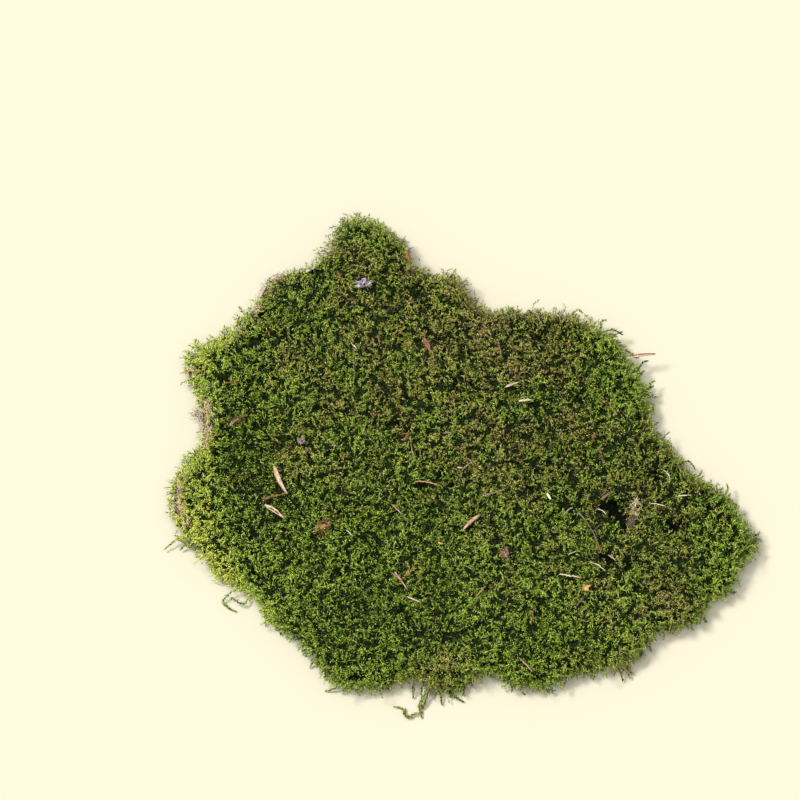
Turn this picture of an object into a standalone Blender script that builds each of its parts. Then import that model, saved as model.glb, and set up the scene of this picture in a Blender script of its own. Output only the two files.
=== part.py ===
# A sheet of carpet moss lifted off the forest floor, lying flat on its cut underside,
# with the dead stems and soil that came up under it and the litter that lies on it.
# Metres, +Z up. The origin is on the ground, in the middle of the sheet's box.
import math

import bmesh
import bpy
from mathutils import Vector
from mathutils.bvhtree import BVHTree

MM = 0.001

SOIL_THICKNESS = 8 * MM      # dead stems, fibres and soil under the living moss
TIP_HEIGHT = 26 * MM         # from the ground to the shoot tips, over most of the sheet
GAP = 0.3 * MM               # air left between pieces that rest on each other
LITTER_CLEARANCE = 0.6 * MM  # litter lies on the outermost tips
SOIL_INSET = 9 * MM          # the moss hangs over the soil by this much
TORN_REACH = 5 * MM          # on the torn side the dead stems stick out by this much
RIM_DROOP = 2.5 * MM         # height of the rim's lowest tips above the ground
STEPS_PER_SPAN = 2           # points on the outline's curve for each point below
TUFT_START = -176 * MM       # past this the lower edge is one thin hanging tuft
TUFT_END = -198 * MM
TUFT_FALL = 15 * MM          # how far the tuft's end lies below the sheet's top

# The torn outline of the sheet, clockwise from its top left corner, in millimetres.
OUTLINE = (
    (-95, 185), (-81, 187), (-63, 181), (-50, 167), (-44, 150), (-27, 144), (-10, 142),
    (0, 128), (12, 116), (36, 116), (60, 114), (81, 111), (100, 101), (114, 91),
    (123, 73), (136, 55), (138, 38), (142, 22), (156, 7), (171, -14), (192, -26),
    (204, -40), (215, -59), (217, -72), (205, -86), (199, -103), (181, -111), (174, -126),
    (145, -137), (134, -146), (121, -161), (82, -169), (58, -179), (32, -179), (15, -168),
    (2, -177), (-10, -199), (-22, -199), (-38, -180), (-67, -181), (-104, -176),
    (-126, -152), (-149, -132), (-157, -114), (-176, -97), (-191, -90), (-206, -61),
    (-217, -43), (-217, -20), (-207, -2), (-197, 12), (-199, 50), (-209, 68), (-202, 84),
    (-175, 98), (-157, 120), (-147, 139), (-116, 152), (-104, 168),
)

# Swells and hollows of the upper surface: centre x and y, radius, rise, in millimetres.
SWELLS = (
    (-186, 62, 20, 3.0), (-184, 28, 20, 3.0), (-190, -8, 22, 2.5), (-196, -42, 24, 2.5),
    (-159, 72, 19, -4.0), (-156, 40, 20, -5.0), (-156, 6, 20, -5.0), (-164, -28, 20, -4.0),
    (-120, 60, 40, 2.5), (-128, -12, 30, 2.0), (-60, 100, 50, 1.5), (-15, 35, 60, 2.5),
    (60, 60, 50, 1.5), (-60, -60, 60, 1.0), (-125, -95, 40, -2.5), (30, -110, 60, 1.5),
    (108, -45, 18, -4.0), (146, -14, 16, -3.5), (122, -22, 16, 1.5), (168, -50, 14, -2.5),
    (190, -64, 26, 1.5), (130, -100, 40, 1.0), (-75, 150, 35, 1.0), (-25, -165, 25, -2.0),
)

# The mat's rings from its underside out round the rim and in to its middle:
# distance in from the outline in metres, and share of the way up to the tips.
RIM_RINGS = ((2 * MM, 0.0), (0.0, 0.25), (0.6 * MM, 0.52), (3.5 * MM, 0.78), (9 * MM, 0.92))
TOP_SHARES = (0.88, 0.78, 0.67, 0.56, 0.45, 0.34, 0.23, 0.12)

# Litter, in millimetres: the two ends, the width across the middle, the sideways bow.
NEEDLES = (
    ((-184, 54), (-173, 54), 1.5, 0.3), ((-155, -35), (-137, -31), 1.6, 0.4),
    ((22, 85), (24, 73), 1.6, 0.3), ((-6, -14), (3, -5), 1.4, 0.3),
    ((-41, -22), (-20, -26), 1.6, 1.5), ((9, -33), (29, -26), 1.5, -0.6),
    ((-59, -39), (-47, -52), 1.5, 0.9), ((69, -48), (77, -41), 1.8, 0.2),
    ((134, -38), (147, -41), 1.4, 0.5), ((154, -33), (166, -32), 1.5, 0.2),
    ((97, 5), (100, -10), 1.3, 0.5), ((-44, 8), (-40, -6), 1.2, -0.6),
    ((-56, -91), (-46, -106), 1.8, 0.4), ((-47, -110), (-36, -115), 1.8, 0.3),
    ((4, -111), (12, -102), 1.5, 0.4), ((66, -93), (84, -96), 1.9, 0.3),
    ((46, -121), (47, -128), 1.5, 0.2), ((36, -156), (46, -167), 1.7, 0.5),
    ((-33, -137), (-27, -134), 1.5, 0.2), ((-20, 15), (-10, 16), 1.3, 0.2),
    ((-69, 92), (-67, 82), 1.3, 0.3),
)
STALKS = (
    ((-92, -59), (-87, -64), 1.2, 0.4), ((-89, 85), (-84, 80), 1.2, 0.4),
    ((89, -83), (101, -91), 1.1, 1.2), ((73, -78), (80, -75), 1.0, 0.4),
    ((145, -12), (149, -21), 1.2, 1.8), ((95, -42), (102, -47), 1.2, 1.2),
)
BUD_SCALES = (
    ((-179, 22), (-166, 31), 3.6, 0.6), ((-146, -9), (-136, -31), 4.4, -1.2),
    ((-153, -39), (-138, -50), 3.8, 0.6), ((-35, 89), (-29, 78), 4.2, 0.5),
    ((27, 51), (38, 55), 2.4, 0.4), ((37, 40), (48, 41), 3.0, 0.3),
    ((-5, -59), (8, -47), 4.0, 0.8), ((103, -78), (109, -83), 2.6, 0.3),
    ((-48, -94), (-39, -88), 3.0, 1.2), ((119, 76), (140, 79), 2.6, 0.5),
    ((79, -117), (86, -109), 3.0, 0.4), ((98, -35), (106, -29), 3.2, 0.3),
)
TWIG_SPINE = ((81, -45), (87, -53), (92, -61), (95, -68), (98, -77))  # the main stem
TWIG_BRANCH = ((91.6, -60.4), (95, -57), (98, -54))  # from the fork outwards
TWIG_WIDTH = 1.8

# Flat scraps, in millimetres: name, middle, length, width, turn in degrees, lobes.
SCRAPS = (
    ("tan_scrap", (-109, -56), 13, 10, 20, 5), ("lilac_scrap", (-125, 10), 9, 6, 70, 3),
    ("lichen_flake", (-79, 132), 14, 8, 10, 4), ("leaf_scrap", (27, -77), 9, 7, 60, 3),
    ("yellow_leaf_scrap", (86, -103), 12, 7, 25, 3),
)
SCRAP_THICKNESS = 0.6 * MM
SCRAP_CORNERS = 12

# Across a needle and across a bud scale, as shares of the half width (side, up).
NEEDLE_SECTION = ((1.0, 0.1), (0.4, 0.75), (-0.4, 0.75), (-1.0, 0.1), (0.0, -0.55))
SCALE_SECTION = ((1.0, 0.34), (0.55, 0.24), (0.0, 0.2), (-0.55, 0.24), (-1.0, 0.34), (-0.6, -0.2),
                 (0.6, -0.2))
NEEDLE_WIDTHS = (0.5, 0.9, 1.0, 0.8, 0.3)
SCALE_WIDTHS = (0.35, 0.85, 1.0, 0.85, 0.5, 0.15)


def clear_scene():
    for item in list(bpy.data.objects):
        bpy.data.objects.remove(item)


def make_material(name, colour, roughness):
    material = bpy.data.materials.new(name)
    material.use_nodes = True
    shader = material.node_tree.nodes["Principled BSDF"]
    shader.inputs["Base Color"].default_value = (*colour, 1.0)
    shader.inputs["Roughness"].default_value = roughness
    shader.inputs["Metallic"].default_value = 0.0
    material.diffuse_color = (*colour, 1.0)
    return material


def make_object(name, bm, material):
    bmesh.ops.recalc_face_normals(bm, faces=bm.faces[:])
    mesh = bpy.data.meshes.new(name)
    bm.to_mesh(mesh)
    bm.free()
    mesh.materials.append(material)
    mesh.shade_smooth()
    mesh.set_sharp_from_angle(angle=math.radians(50))
    piece = bpy.data.objects.new(name, mesh)
    bpy.context.collection.objects.link(piece)
    return piece


def loft(rings):
    # One closed body through rings of points, its first and last ring filled.
    bm = bmesh.new()
    loops = [[bm.verts.new(point) for point in points] for points in rings]
    for low, high in zip(loops, loops[1:]):
        for i in range(len(low)):
            bm.faces.new((low[i - 1], low[i], high[i], high[i - 1]))
    bm.faces.new(reversed(loops[0]))
    bm.faces.new(loops[-1])
    bmesh.ops.triangulate(bm, faces=bm.faces[:])
    return bm


def smooth_closed_curve(points, steps):
    # Catmull-Rom through every point, closing on the first.
    count = len(points)
    curve = []
    for i in range(count):
        before, here, after, later = (points[(i + k) % count] for k in (-1, 0, 1, 2))
        for step in range(steps):
            t = step / steps
            curve.append(0.5 * ((2 * here) + (after - before) * t
                                + (2 * before - 5 * here + 4 * after - later) * t * t
                                + (3 * here - before - 3 * after + later) * t ** 3))
    return curve


def smooth_step(low, high, value):
    t = min(max((value - low) / (high - low), 0.0), 1.0)
    return t * t * (3 - 2 * t)


def tornness(point):
    # 1 along the torn upper left side, 0 round the rest of the outline.
    return smooth_step(-105 * MM, -140 * MM, point.x) * smooth_step(-88 * MM, -60 * MM, point.y)


def soil_inset(point):
    # The soil stops short of the moss all round, and sticks out where the sheet was torn.
    share = tornness(point)
    return SOIL_INSET * (1 - share) - TORN_REACH * share


def tip_height(x, y):
    height = TIP_HEIGHT
    for centre_x, centre_y, radius, rise in SWELLS:
        apart = math.hypot(x - centre_x * MM, y - centre_y * MM) / (radius * MM)
        height += rise * MM * math.exp(-apart * apart)
    ripple = math.sin(x / (17 * MM) + 1.3) * math.sin(y / (14 * MM) + 0.4)
    ripple += 0.6 * math.sin(x / (9 * MM) - y / (13 * MM))
    height -= TUFT_FALL * smooth_step(TUFT_START, TUFT_END, y)
    return height + 0.7 * MM * ripple


def pulled_in(point, inset):
    # A point of the outline moved towards the middle by a distance.
    return point * (1 - inset / point.length)


def make_soil_layer(outline, material):
    levels = ((1.5 * MM, 0.0), (0.0, 0.3), (0.4 * MM, 0.8), (1.6 * MM, 1.0))
    rings = []
    for inset, share in levels:
        ring = [pulled_in(p, soil_inset(p) + inset) for p in outline]
        # The hanging tuft has no soil under it.
        rings.append([(p.x, max(p.y, TUFT_START + SOIL_INSET), SOIL_THICKNESS * share)
                      for p in ring])
    return make_object("soil_layer", loft(rings), material)


def moss_rings(outline):
    bed = SOIL_THICKNESS + GAP
    outside = [min(soil_inset(p) - 2 * MM, 7 * MM) for p in outline]
    outside = [max(inset, 2.6 * MM) for inset in outside]
    lowest = [RIM_DROOP + (bed - RIM_DROOP) * smooth_step(0.0, 0.2, tornness(p))
              for p in outline]
    under = [pulled_in(p, SOIL_INSET + 6 * MM) for p in outline]
    rings = [[(p.x, p.y, bed) for p in under]]
    step = [pulled_in(p, inset) for p, inset in zip(outline, outside)]
    rings.append([(p.x, p.y, bed) for p in step])
    step = [pulled_in(p, inset - 0.4 * MM) for p, inset in zip(outline, outside)]
    rings.append([(p.x, p.y, low) for p, low in zip(step, lowest)])
    for inset, share in RIM_RINGS:
        ring = []
        for p, low in zip(outline, lowest):
            q = pulled_in(p, inset)
            ring.append((q.x, q.y, low + (tip_height(q.x, q.y) - low) * share))
        rings.append(ring)
    for reach in TOP_SHARES:
        ring = [p * reach for p in outline]
        rings.append([(q.x, q.y, tip_height(q.x, q.y)) for q in ring])
    return rings


class Ground:
    # The moss's upper surface, for laying litter on.
    def __init__(self, bm):
        self.tree = BVHTree.FromBMesh(bm)

    def height(self, x, y, otherwise):
        hit = self.tree.ray_cast(Vector((x, y, 0.2)), Vector((0, 0, -1)))[0]
        return otherwise if hit is None else hit.z


def resting_spine(ground, points, lift):
    # Points laid on the moss. Past the rim the piece sticks out level.
    spine = []
    height = 0.0
    for x, y in points:
        height = ground.height(x, y, height)
        spine.append(Vector((x, y, height + lift)))
    return spine


def bowed_line(tail, tip, bow, count):
    start = Vector(tail) * MM
    end = Vector(tip) * MM
    side = (end - start).orthogonal().normalized() * bow * MM
    points = []
    for i in range(count):
        t = i / (count - 1)
        points.append(start.lerp(end, t) + side * math.sin(math.pi * t))
    return points


def rod(spine, half_widths, section):
    # A section swept along a spine and scaled to each half width.
    rings = []
    for i, centre in enumerate(spine):
        ahead = spine[min(i + 1, len(spine) - 1)] - spine[max(i - 1, 0)]
        side = ahead.cross(Vector((0, 0, 1))).normalized()
        up = side.cross(ahead).normalized()
        half = half_widths[i]
        rings.append([centre + side * across * half + up * rise * half
                      for across, rise in section])
    return loft(rings)


def lay_strip(name, ground, strip, shape, section, material):
    tail, tip, width, bow = strip
    half = width * MM / 2
    points = bowed_line(tail, tip, bow, len(shape))
    depth = -min(rise for across, rise in section)
    spine = resting_spine(ground, points, LITTER_CLEARANCE + half * depth)
    widths = [half * share for share in shape]
    return make_object(name, rod(spine, widths, section), material)


def make_forked_twig(ground, material):
    # The stem, and a side branch that starts inside it and is joined to it.
    half = TWIG_WIDTH * MM / 2
    limbs = []
    for name, points, thickness in (("forked_twig", TWIG_SPINE, 1.0),
                                    ("twig_side_branch", TWIG_BRANCH, 0.7)):
        points = [Vector(point) * MM for point in points]
        spine = resting_spine(ground, points, LITTER_CLEARANCE + half)
        widths = [half * thickness * share for share in NEEDLE_WIDTHS[-len(points):]]
        limbs.append(make_object(name, rod(spine, widths, NEEDLE_SECTION), material))
    stem, branch = limbs
    branch.hide_render = True
    branch.display_type = "WIRE"
    union = stem.modifiers.new("side branch", "BOOLEAN")
    union.operation = "UNION"
    union.solver = "EXACT"
    union.object = branch
    return stem, branch


def lay_scrap(name, ground, scrap, material):
    middle, length, width, turn, lobes = scrap
    centre = Vector(middle) * MM
    lean = math.radians(turn)
    low, high = [], []
    for i in range(SCRAP_CORNERS):
        angle = 2 * math.pi * i / SCRAP_CORNERS
        reach = 1 + 0.18 * math.sin(lobes * angle + lean)
        across = length / 2 * MM * reach * math.cos(angle)
        along = width / 2 * MM * reach * math.sin(angle)
        x = centre.x + across * math.cos(lean) - along * math.sin(lean)
        y = centre.y + across * math.sin(lean) + along * math.cos(lean)
        base = ground.height(x, y, 0.0) + LITTER_CLEARANCE
        low.append((x, y, base))
        high.append((x, y, base + SCRAP_THICKNESS))
    top = max(ground.height(centre.x, centre.y, 0.0) + LITTER_CLEARANCE,
              sum(point[2] for point in low) / SCRAP_CORNERS)
    inner = [(centre.x + 0.5 * (x - centre.x), centre.y + 0.5 * (y - centre.y), (z + top) / 2)
             for x, y, z in low]
    crown = [(x, y, z + SCRAP_THICKNESS) for x, y, z in inner]
    return make_object(name, loft([inner, low, high, crown]), material)


def build_sheet():
    clear_scene()
    moss_green = make_material("moss green", (0.075, 0.10, 0.018), 0.85)
    soil_brown = make_material("soil brown", (0.07, 0.045, 0.025), 0.95)
    needle_brown = make_material("needle brown", (0.17, 0.075, 0.04), 0.6)
    stalk_pale = make_material("stalk pale", (0.45, 0.42, 0.26), 0.6)
    scale_tan = make_material("bud scale tan", (0.38, 0.18, 0.09), 0.5)
    twig_grey = make_material("twig grey brown", (0.13, 0.085, 0.065), 0.8)
    scrap_colours = {
        "tan_scrap": (0.36, 0.20, 0.06), "lilac_scrap": (0.20, 0.14, 0.13),
        "lichen_flake": (0.30, 0.26, 0.29), "leaf_scrap": (0.17, 0.09, 0.085),
        "yellow_leaf_scrap": (0.48, 0.36, 0.08),
    }

    anchors = [Vector(point) * MM for point in OUTLINE]
    outline = smooth_closed_curve(anchors, STEPS_PER_SPAN)
    pieces = [make_soil_layer(outline, soil_brown)]

    moss = loft(moss_rings(outline))
    bmesh.ops.recalc_face_normals(moss, faces=moss.faces[:])
    ground = Ground(moss)
    pieces.append(make_object("moss_mat", moss, moss_green))

    kinds = (
        ("needle", NEEDLES, NEEDLE_WIDTHS, NEEDLE_SECTION, needle_brown),
        ("stalk", STALKS, NEEDLE_WIDTHS, NEEDLE_SECTION, stalk_pale),
        ("bud_scale", BUD_SCALES, SCALE_WIDTHS, SCALE_SECTION, scale_tan),
    )
    for kind, strips, shape, section, material in kinds:
        for number, strip in enumerate(strips, start=1):
            name = f"{kind}_{number:02d}"
            pieces.append(lay_strip(name, ground, strip, shape, section, material))
    twig, twig_branch = make_forked_twig(ground, twig_grey)
    pieces.append(twig)
    for name, *scrap in SCRAPS:
        material = make_material(name.replace("_", " "), scrap_colours[name], 0.8)
        pieces.append(lay_scrap(name, ground, scrap, material))

    # Everything hangs from one empty, which puts the middle of the box on the origin.
    corners = [vertex.co for piece in pieces for vertex in piece.data.vertices]
    middle_x = (min(c.x for c in corners) + max(c.x for c in corners)) / 2
    middle_y = (min(c.y for c in corners) + max(c.y for c in corners)) / 2
    sheet = bpy.data.objects.new("sheet", None)
    bpy.context.collection.objects.link(sheet)
    sheet.location = (-middle_x, -middle_y, 0.0)
    for piece in pieces + [twig_branch]:
        piece.parent = sheet
    print(f"{len(pieces)} pieces, box middle moved by {-middle_x:.5f}, {-middle_y:.5f}")


build_sheet()
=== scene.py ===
import math
import random

import bmesh
import bpy
import numpy as np
from mathutils import Matrix, Vector, kdtree, noise
from mathutils.bvhtree import BVHTree


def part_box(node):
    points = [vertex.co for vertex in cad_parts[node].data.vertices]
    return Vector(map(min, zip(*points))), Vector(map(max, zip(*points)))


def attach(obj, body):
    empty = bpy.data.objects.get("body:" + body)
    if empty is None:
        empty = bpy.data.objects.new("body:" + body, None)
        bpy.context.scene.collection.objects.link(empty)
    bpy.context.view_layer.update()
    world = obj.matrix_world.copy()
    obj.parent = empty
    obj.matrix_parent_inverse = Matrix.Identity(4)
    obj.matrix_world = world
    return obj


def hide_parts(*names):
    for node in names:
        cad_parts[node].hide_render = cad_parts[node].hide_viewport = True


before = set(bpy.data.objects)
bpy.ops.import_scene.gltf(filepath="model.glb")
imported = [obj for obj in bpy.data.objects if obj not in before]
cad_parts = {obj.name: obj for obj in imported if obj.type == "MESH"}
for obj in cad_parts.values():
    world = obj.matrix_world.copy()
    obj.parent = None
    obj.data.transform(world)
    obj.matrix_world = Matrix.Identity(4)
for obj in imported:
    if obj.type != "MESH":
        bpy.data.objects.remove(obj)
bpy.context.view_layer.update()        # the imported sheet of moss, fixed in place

mm = 0.001
upward = Vector((0, 0, 1))


# ---------- shared helpers for meshes

def addPiece(name, mesh, material, replaced=()):
    piece = bpy.data.objects.new(name, mesh)
    bpy.context.scene.collection.objects.link(piece)
    mesh.materials.append(material)
    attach(piece, "root")
    if replaced:
        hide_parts(*replaced)
    return piece


def meshFromBmesh(name, bm, smooth=True):
    mesh = bpy.data.meshes.new(name)
    bm.to_mesh(mesh)
    bm.free()
    if smooth:
        mesh.shade_smooth()
    return mesh


def mergedCopy(node):      # a CAD node's loose triangles, joined up
    bm = bmesh.new()
    bm.from_mesh(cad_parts[node].data)
    bmesh.ops.remove_doubles(bm, verts=bm.verts[:], dist=1e-6)
    return bm


def smoothStep(low, high, value):
    t = min(max((value - low) / (high - low), 0.0), 1.0)
    return t * t * (3 - 2 * t)


def scatter(rng, spread):
    return Vector([rng.gauss(0, spread) for _ in range(3)])


def spineFrame(spine, i, radius, flatness):
    # where a ring of the tube goes: across, up, along, and its centre
    along = (spine[min(i + 1, len(spine) - 1)] - spine[max(i - 1, 0)]).normalized()
    side = along.cross(upward if abs(along.z) < 0.95 else Vector((0, 1, 0))).normalized()
    rise = side.cross(along)
    matrix = Matrix.Identity(4)
    for row in range(3):
        matrix[row][0] = side[row] * radius
        matrix[row][1] = rise[row] * radius * flatness
        matrix[row][2] = along[row] * radius
        matrix[row][3] = spine[i][row]
    return matrix


def sweepTube(bm, spine, radii, sides, flatness=1.0):
    # a closed tube along the spine; returns its rings, first to last
    places = [spineFrame(spine, i, r, flatness) for i, r in enumerate(radii)]
    ring = bmesh.ops.create_circle(bm, cap_ends=True, segments=sides, radius=1.0,
                                   matrix=places[0])["verts"]
    edges = list({edge for vert in ring for edge in vert.link_edges})
    rings = [ring]
    for before, after in zip(places, places[1:]):
        grown = bmesh.ops.extrude_edge_only(bm, edges=edges)["geom"]
        ring = [part for part in grown if isinstance(part, bmesh.types.BMVert)]
        edges = [part for part in grown if isinstance(part, bmesh.types.BMEdge)
                 and part.verts[0] in ring and part.verts[1] in ring]
        bmesh.ops.transform(bm, matrix=after @ before.inverted(), verts=ring)
        rings.append(ring)
    bmesh.ops.edgeloop_fill(bm, edges=edges)
    return rings


# ---------- shared helpers for materials

def startMaterial(name):
    material = bpy.data.materials.new(name)
    material.use_nodes = True
    return material, material.node_tree


def setInputs(tree, node, inputs):
    for key, value in inputs.items():
        if isinstance(value, bpy.types.NodeSocket):
            tree.links.new(value, node.inputs[key])
        else:
            node.inputs[key].default_value = value


def addNode(tree, kind, inputs=None, **settings):
    node = tree.nodes.new(kind)
    for key, value in settings.items():
        setattr(node, key, value)
    setInputs(tree, node, inputs or {})
    return node


def colourRamp(tree, factor, stops):
    node = addNode(tree, "ShaderNodeValToRGB", {"Fac": factor})
    band = node.color_ramp
    band.elements[0].position, band.elements[1].position = stops[0][0], stops[-1][0]
    for place, colour in stops[1:-1]:
        band.elements.new(place)
    for element, (place, colour) in zip(band.elements, stops):
        element.position = place
        element.color = (*colour, 1.0)
    return node.outputs["Color"]


def mixColour(tree, factor, first, second, blend="MIX"):
    node = addNode(tree, "ShaderNodeMix", data_type="RGBA", blend_type=blend)
    for socket, value in ((node.inputs[0], factor), (node.inputs[6], first), (node.inputs[7], second)):
        if isinstance(value, bpy.types.NodeSocket):
            tree.links.new(value, socket)
        else:
            socket.default_value = value if isinstance(value, float) else (*value, 1.0)
    return node.outputs[2]


def mapRange(tree, value, low=0.0, high=1.0, toLow=0.0, toHigh=1.0, **settings):
    node = addNode(tree, "ShaderNodeMapRange", {"Value": value, "From Min": low, "From Max": high,
                                                "To Min": toLow, "To Max": toHigh}, **settings)
    return node.outputs["Result"]


def multiplied(tree, first, second):
    node = addNode(tree, "ShaderNodeMath", {0: first, 1: second}, operation="MULTIPLY")
    return node.outputs[0]


def split(tree, place):
    return addNode(tree, "ShaderNodeSeparateXYZ", {0: place}).outputs


def ownMap(tree, name):
    return addNode(tree, "ShaderNodeUVMap", uv_map=name).outputs[0]


def ownPlace(tree):
    return addNode(tree, "ShaderNodeTexCoord").outputs["Object"]


def addMottle(tree, place, patchScale, grainScale, darkest, brightest):
    node = addNode(tree, "ShaderNodeGroup",
                   {"Place": place, "Patch Scale": patchScale, "Grain Scale": grainScale,
                    "Darkest": darkest, "Brightest": brightest}, node_tree=mottle)
    return node.outputs


def finishMaterial(material, colour, roughness, height, strength, distance, specular=0.5):
    # the shader's colour, roughness and shine, and bumps of this strength and height
    tree = material.node_tree
    bump = addNode(tree, "ShaderNodeBump", {"Height": height, "Strength": strength, "Distance": distance})
    setInputs(tree, tree.nodes["Principled BSDF"],
              {"Base Color": colour, "Roughness": roughness, "Specular IOR Level": specular,
               "Normal": bump.outputs["Normal"]})
    return material


def startGroup(name, numbers, outputs):
    # a group reads a place and some numbers, and puts out numbers only
    group = bpy.data.node_groups.new(name, "ShaderNodeTree")
    group.interface.new_socket("Place", in_out="INPUT", socket_type="NodeSocketVector")
    for label, value in numbers.items():
        socket = group.interface.new_socket(label, in_out="INPUT", socket_type="NodeSocketFloat")
        socket.default_value = value
    for label in outputs:
        group.interface.new_socket(label, in_out="OUTPUT", socket_type="NodeSocketFloat")
    source = group.nodes.new("NodeGroupInput").outputs
    sink = group.nodes.new("NodeGroupOutput").inputs
    return group, source, sink


def makeMottleGroup():
    # soft patches and fine grain, put out as a factor round 1 and as a height
    group, source, sink = startGroup(
        "mottle", {"Patch Scale": 40.0, "Grain Scale": 600.0, "Darkest": 0.8, "Brightest": 1.2},
        ("Shade", "Height"))
    patch = addNode(group, "ShaderNodeTexNoise",
                    {"Vector": source["Place"], "Scale": source["Patch Scale"], "Detail": 3.0})
    grain = addNode(group, "ShaderNodeTexNoise",
                    {"Vector": source["Place"], "Scale": source["Grain Scale"], "Detail": 2.0})
    both = addNode(group, "ShaderNodeMath", {0: patch.outputs["Fac"], 1: grain.outputs["Fac"]},
                   operation="ADD")
    shade = mapRange(group, both.outputs[0], 0.7, 1.3, source["Darkest"], source["Brightest"])
    group.links.new(shade, sink["Shade"])
    group.links.new(grain.outputs["Fac"], sink["Height"])
    return group


def makeStreakGroup():
    # long fine fibres along a piece's first map axis
    group, source, sink = startGroup("streaks", {"Along": 3.0, "Across": 40.0}, ("Mask", "Height"))
    x, y, z = split(group, source["Place"])
    along = multiplied(group, x, source["Along"])
    across = multiplied(group, y, source["Across"])
    place = addNode(group, "ShaderNodeCombineXYZ", {0: along, 1: across, 2: z})
    fibre = addNode(group, "ShaderNodeTexNoise",
                    {"Vector": place.outputs[0], "Scale": 1.0, "Detail": 4.0, "Roughness": 0.6})
    group.links.new(mapRange(group, fibre.outputs["Fac"], 0.38, 0.62), sink["Mask"])
    group.links.new(fibre.outputs["Fac"], sink["Height"])
    return group


mottle = makeMottleGroup()
streaks = makeStreakGroup()


# ---------- the sheet's own shape, and where it differs from place to place

mossSolid = mergedCopy("moss_mat")
mossTree = BVHTree.FromBMesh(mossSolid)
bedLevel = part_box("soil_layer")[1].z      # top of the soil

# patches of the sheet, each: x, y, radius in mm, then how much
tintZones = (
    (-122, -98, 55, 0.36), (-70, -125, 50, 0.32), (-45, -60, 45, 0.12), (-163, 25, 22, 0.30),
    (-104, 122, 32, -0.08), (112, 62, 34, 0.20), (201, -72, 24, 0.36), (45, -140, 45, 0.20),
    (-190, -40, 24, 0.24), (-10, 112, 60, -0.20), (62, 100, 40, -0.14), (-128, -2, 16, -0.18),
    (92, 34, 22, -0.20), (125, -36, 16, -0.24), (-20, -172, 20, -0.30), (160, -110, 18, -0.20),
    (30, 20, 60, -0.10), (150, 5, 30, -0.14), (-60, 60, 26, -0.12), (20, -70, 26, -0.10),
)
# painted light and shade: the sheet's slopes painted brighter and darker, partly its own lighter and darker
# patches
lightZones = (
    (-160, 50, 18, -0.16), (-160, 5, 20, -0.18), (-170, -25, 18, -0.12), (-124, 66, 26, 0.22),
    (-10, 40, 26, 0.12), (-90, 115, 32, 0.12), (111, -36, 13, -0.26), (168, -45, 18, -0.14),
    (116, 10, 18, -0.12), (-90, -75, 30, -0.10), (60, 72, 26, -0.05), (-100, -40, 20, 0.06),
    (-15, 98, 30, 0.09), (-70, -130, 55, -0.15), (90, 66, 30, -0.05), (95, 35, 25, 0.08),
    (192, -84, 15, 0.16), (0, -95, 40, -0.04),
)


def underMoss(place):
    return mossTree.ray_cast(place, upward)[0] is not None


def zoneSum(zones, x, y):
    total = 0.0
    for zoneX, zoneY, radius, amount in zones:
        apart = ((x / mm - zoneX) ** 2 + (y / mm - zoneY) ** 2) / radius ** 2
        if apart < 9:      # three radii out, nothing is left of it
            total += amount * math.exp(-apart)
    return total


gapLook = {"size": 6.5, "from": 0.40, "to": 0.54, "depth": 0.8}      # mm, and where the noise opens a gap
# dark holes where the shoots are missing: x, y, radius in mm
pits = ((107, -28, 4.5), (111, -33, 5.5), (115, -39, 5.5), (119, -45, 5.0), (147, -9, 5.0), (157, -46, 5.0),
        (184, -64, 4.0), (108, -74, 5.5), (120, -76, 4.5), (76, -34, 5.5), (-180, 64, 5.0), (40, 118, 5.0),
        (-52, 30, 3.5))


def nearSpot(spots, x, y, inner, outer):
    # 1 inside a spot, falling to 0 between these shares of its radius
    most = 0.0
    for spotX, spotY, radius in spots:
        apart = math.hypot(x / mm - spotX, y / mm - spotY) / radius
        most = max(most, 1 - smoothStep(inner, outer, apart))
    return most


def pitDepth(x, y):
    deepest = nearSpot(pits, x, y, 0.65, 1.25)
    # small gaps between the cushions
    small = noise.noise(Vector((x, y, 0)) / (gapLook["size"] * mm) + Vector((4, 9, 2)))
    return max(deepest, gapLook["depth"] * smoothStep(gapLook["from"], gapLook["to"], small))


# torn side: bare tan fibres show here, x, y, radius in mm
tanSpots = ((-195, 46, 4.5), (-195, 39, 5), (-195, 32, 5), (-194, 25, 5), (-194, 18, 4.5), (-209, -11, 4),
            (-213, -18, 5), (-214, -26, 5), (-212, -34, 5), (-209, -42, 4.5), (-172, 106, 4), (-159, 124, 5),
            (-143, 142, 5), (-207, 74, 4))


def tanShare(x, y):
    return nearSpot(tanSpots, x, y, 0.7, 1.35)


def leftRim(x, y):         # 1 along the left edge, where young tips are lime
    line = -0.205 + 0.55 * max(0.0, y - 0.075) + 0.45 * max(0.0, -0.045 - y)
    return 1 - smoothStep(0.008, 0.030, x - line)


tassel = {"left": -50, "right": 6, "top": -150, "keep": 0.60}      # mm, and how much of its depth is solid
inset = {"right": 0.020, "front": 0.027, "reach": 170}             # shares of the way to the middle
hollow = {"x": -124, "y": -140, "radius": 26, "depth": 6.0}        # mm, a bay in the left of the front edge


def pullIn(place):
    # the leafy edge stands a little inside the solid's, and strands alone hang below the tassel
    x, y = place[0] / mm, place[1] / mm
    newX = x * (1 - inset["right"] * smoothStep(0, inset["reach"], x))
    newY = y * (1 - inset["front"] * smoothStep(0, inset["reach"], -y))
    apart = ((x - hollow["x"]) ** 2 + (y - hollow["y"]) ** 2) / hollow["radius"] ** 2
    if apart < 9:
        newX += 0.6 * hollow["depth"] * math.exp(-apart)
        newY += 0.8 * hollow["depth"] * math.exp(-apart)
    if y < tassel["top"]:
        share = smoothStep(tassel["left"] - 10, tassel["left"] + 8, x)
        share *= 1 - smoothStep(tassel["right"] - 8, tassel["right"] + 10, x)
        newY += (tassel["top"] - y) * (1 - tassel["keep"]) * share
    return Vector((newX * mm, newY * mm, place[2]))


# ---------- moss shoots: a few kinds are grown leaf by leaf, then repeated

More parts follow.
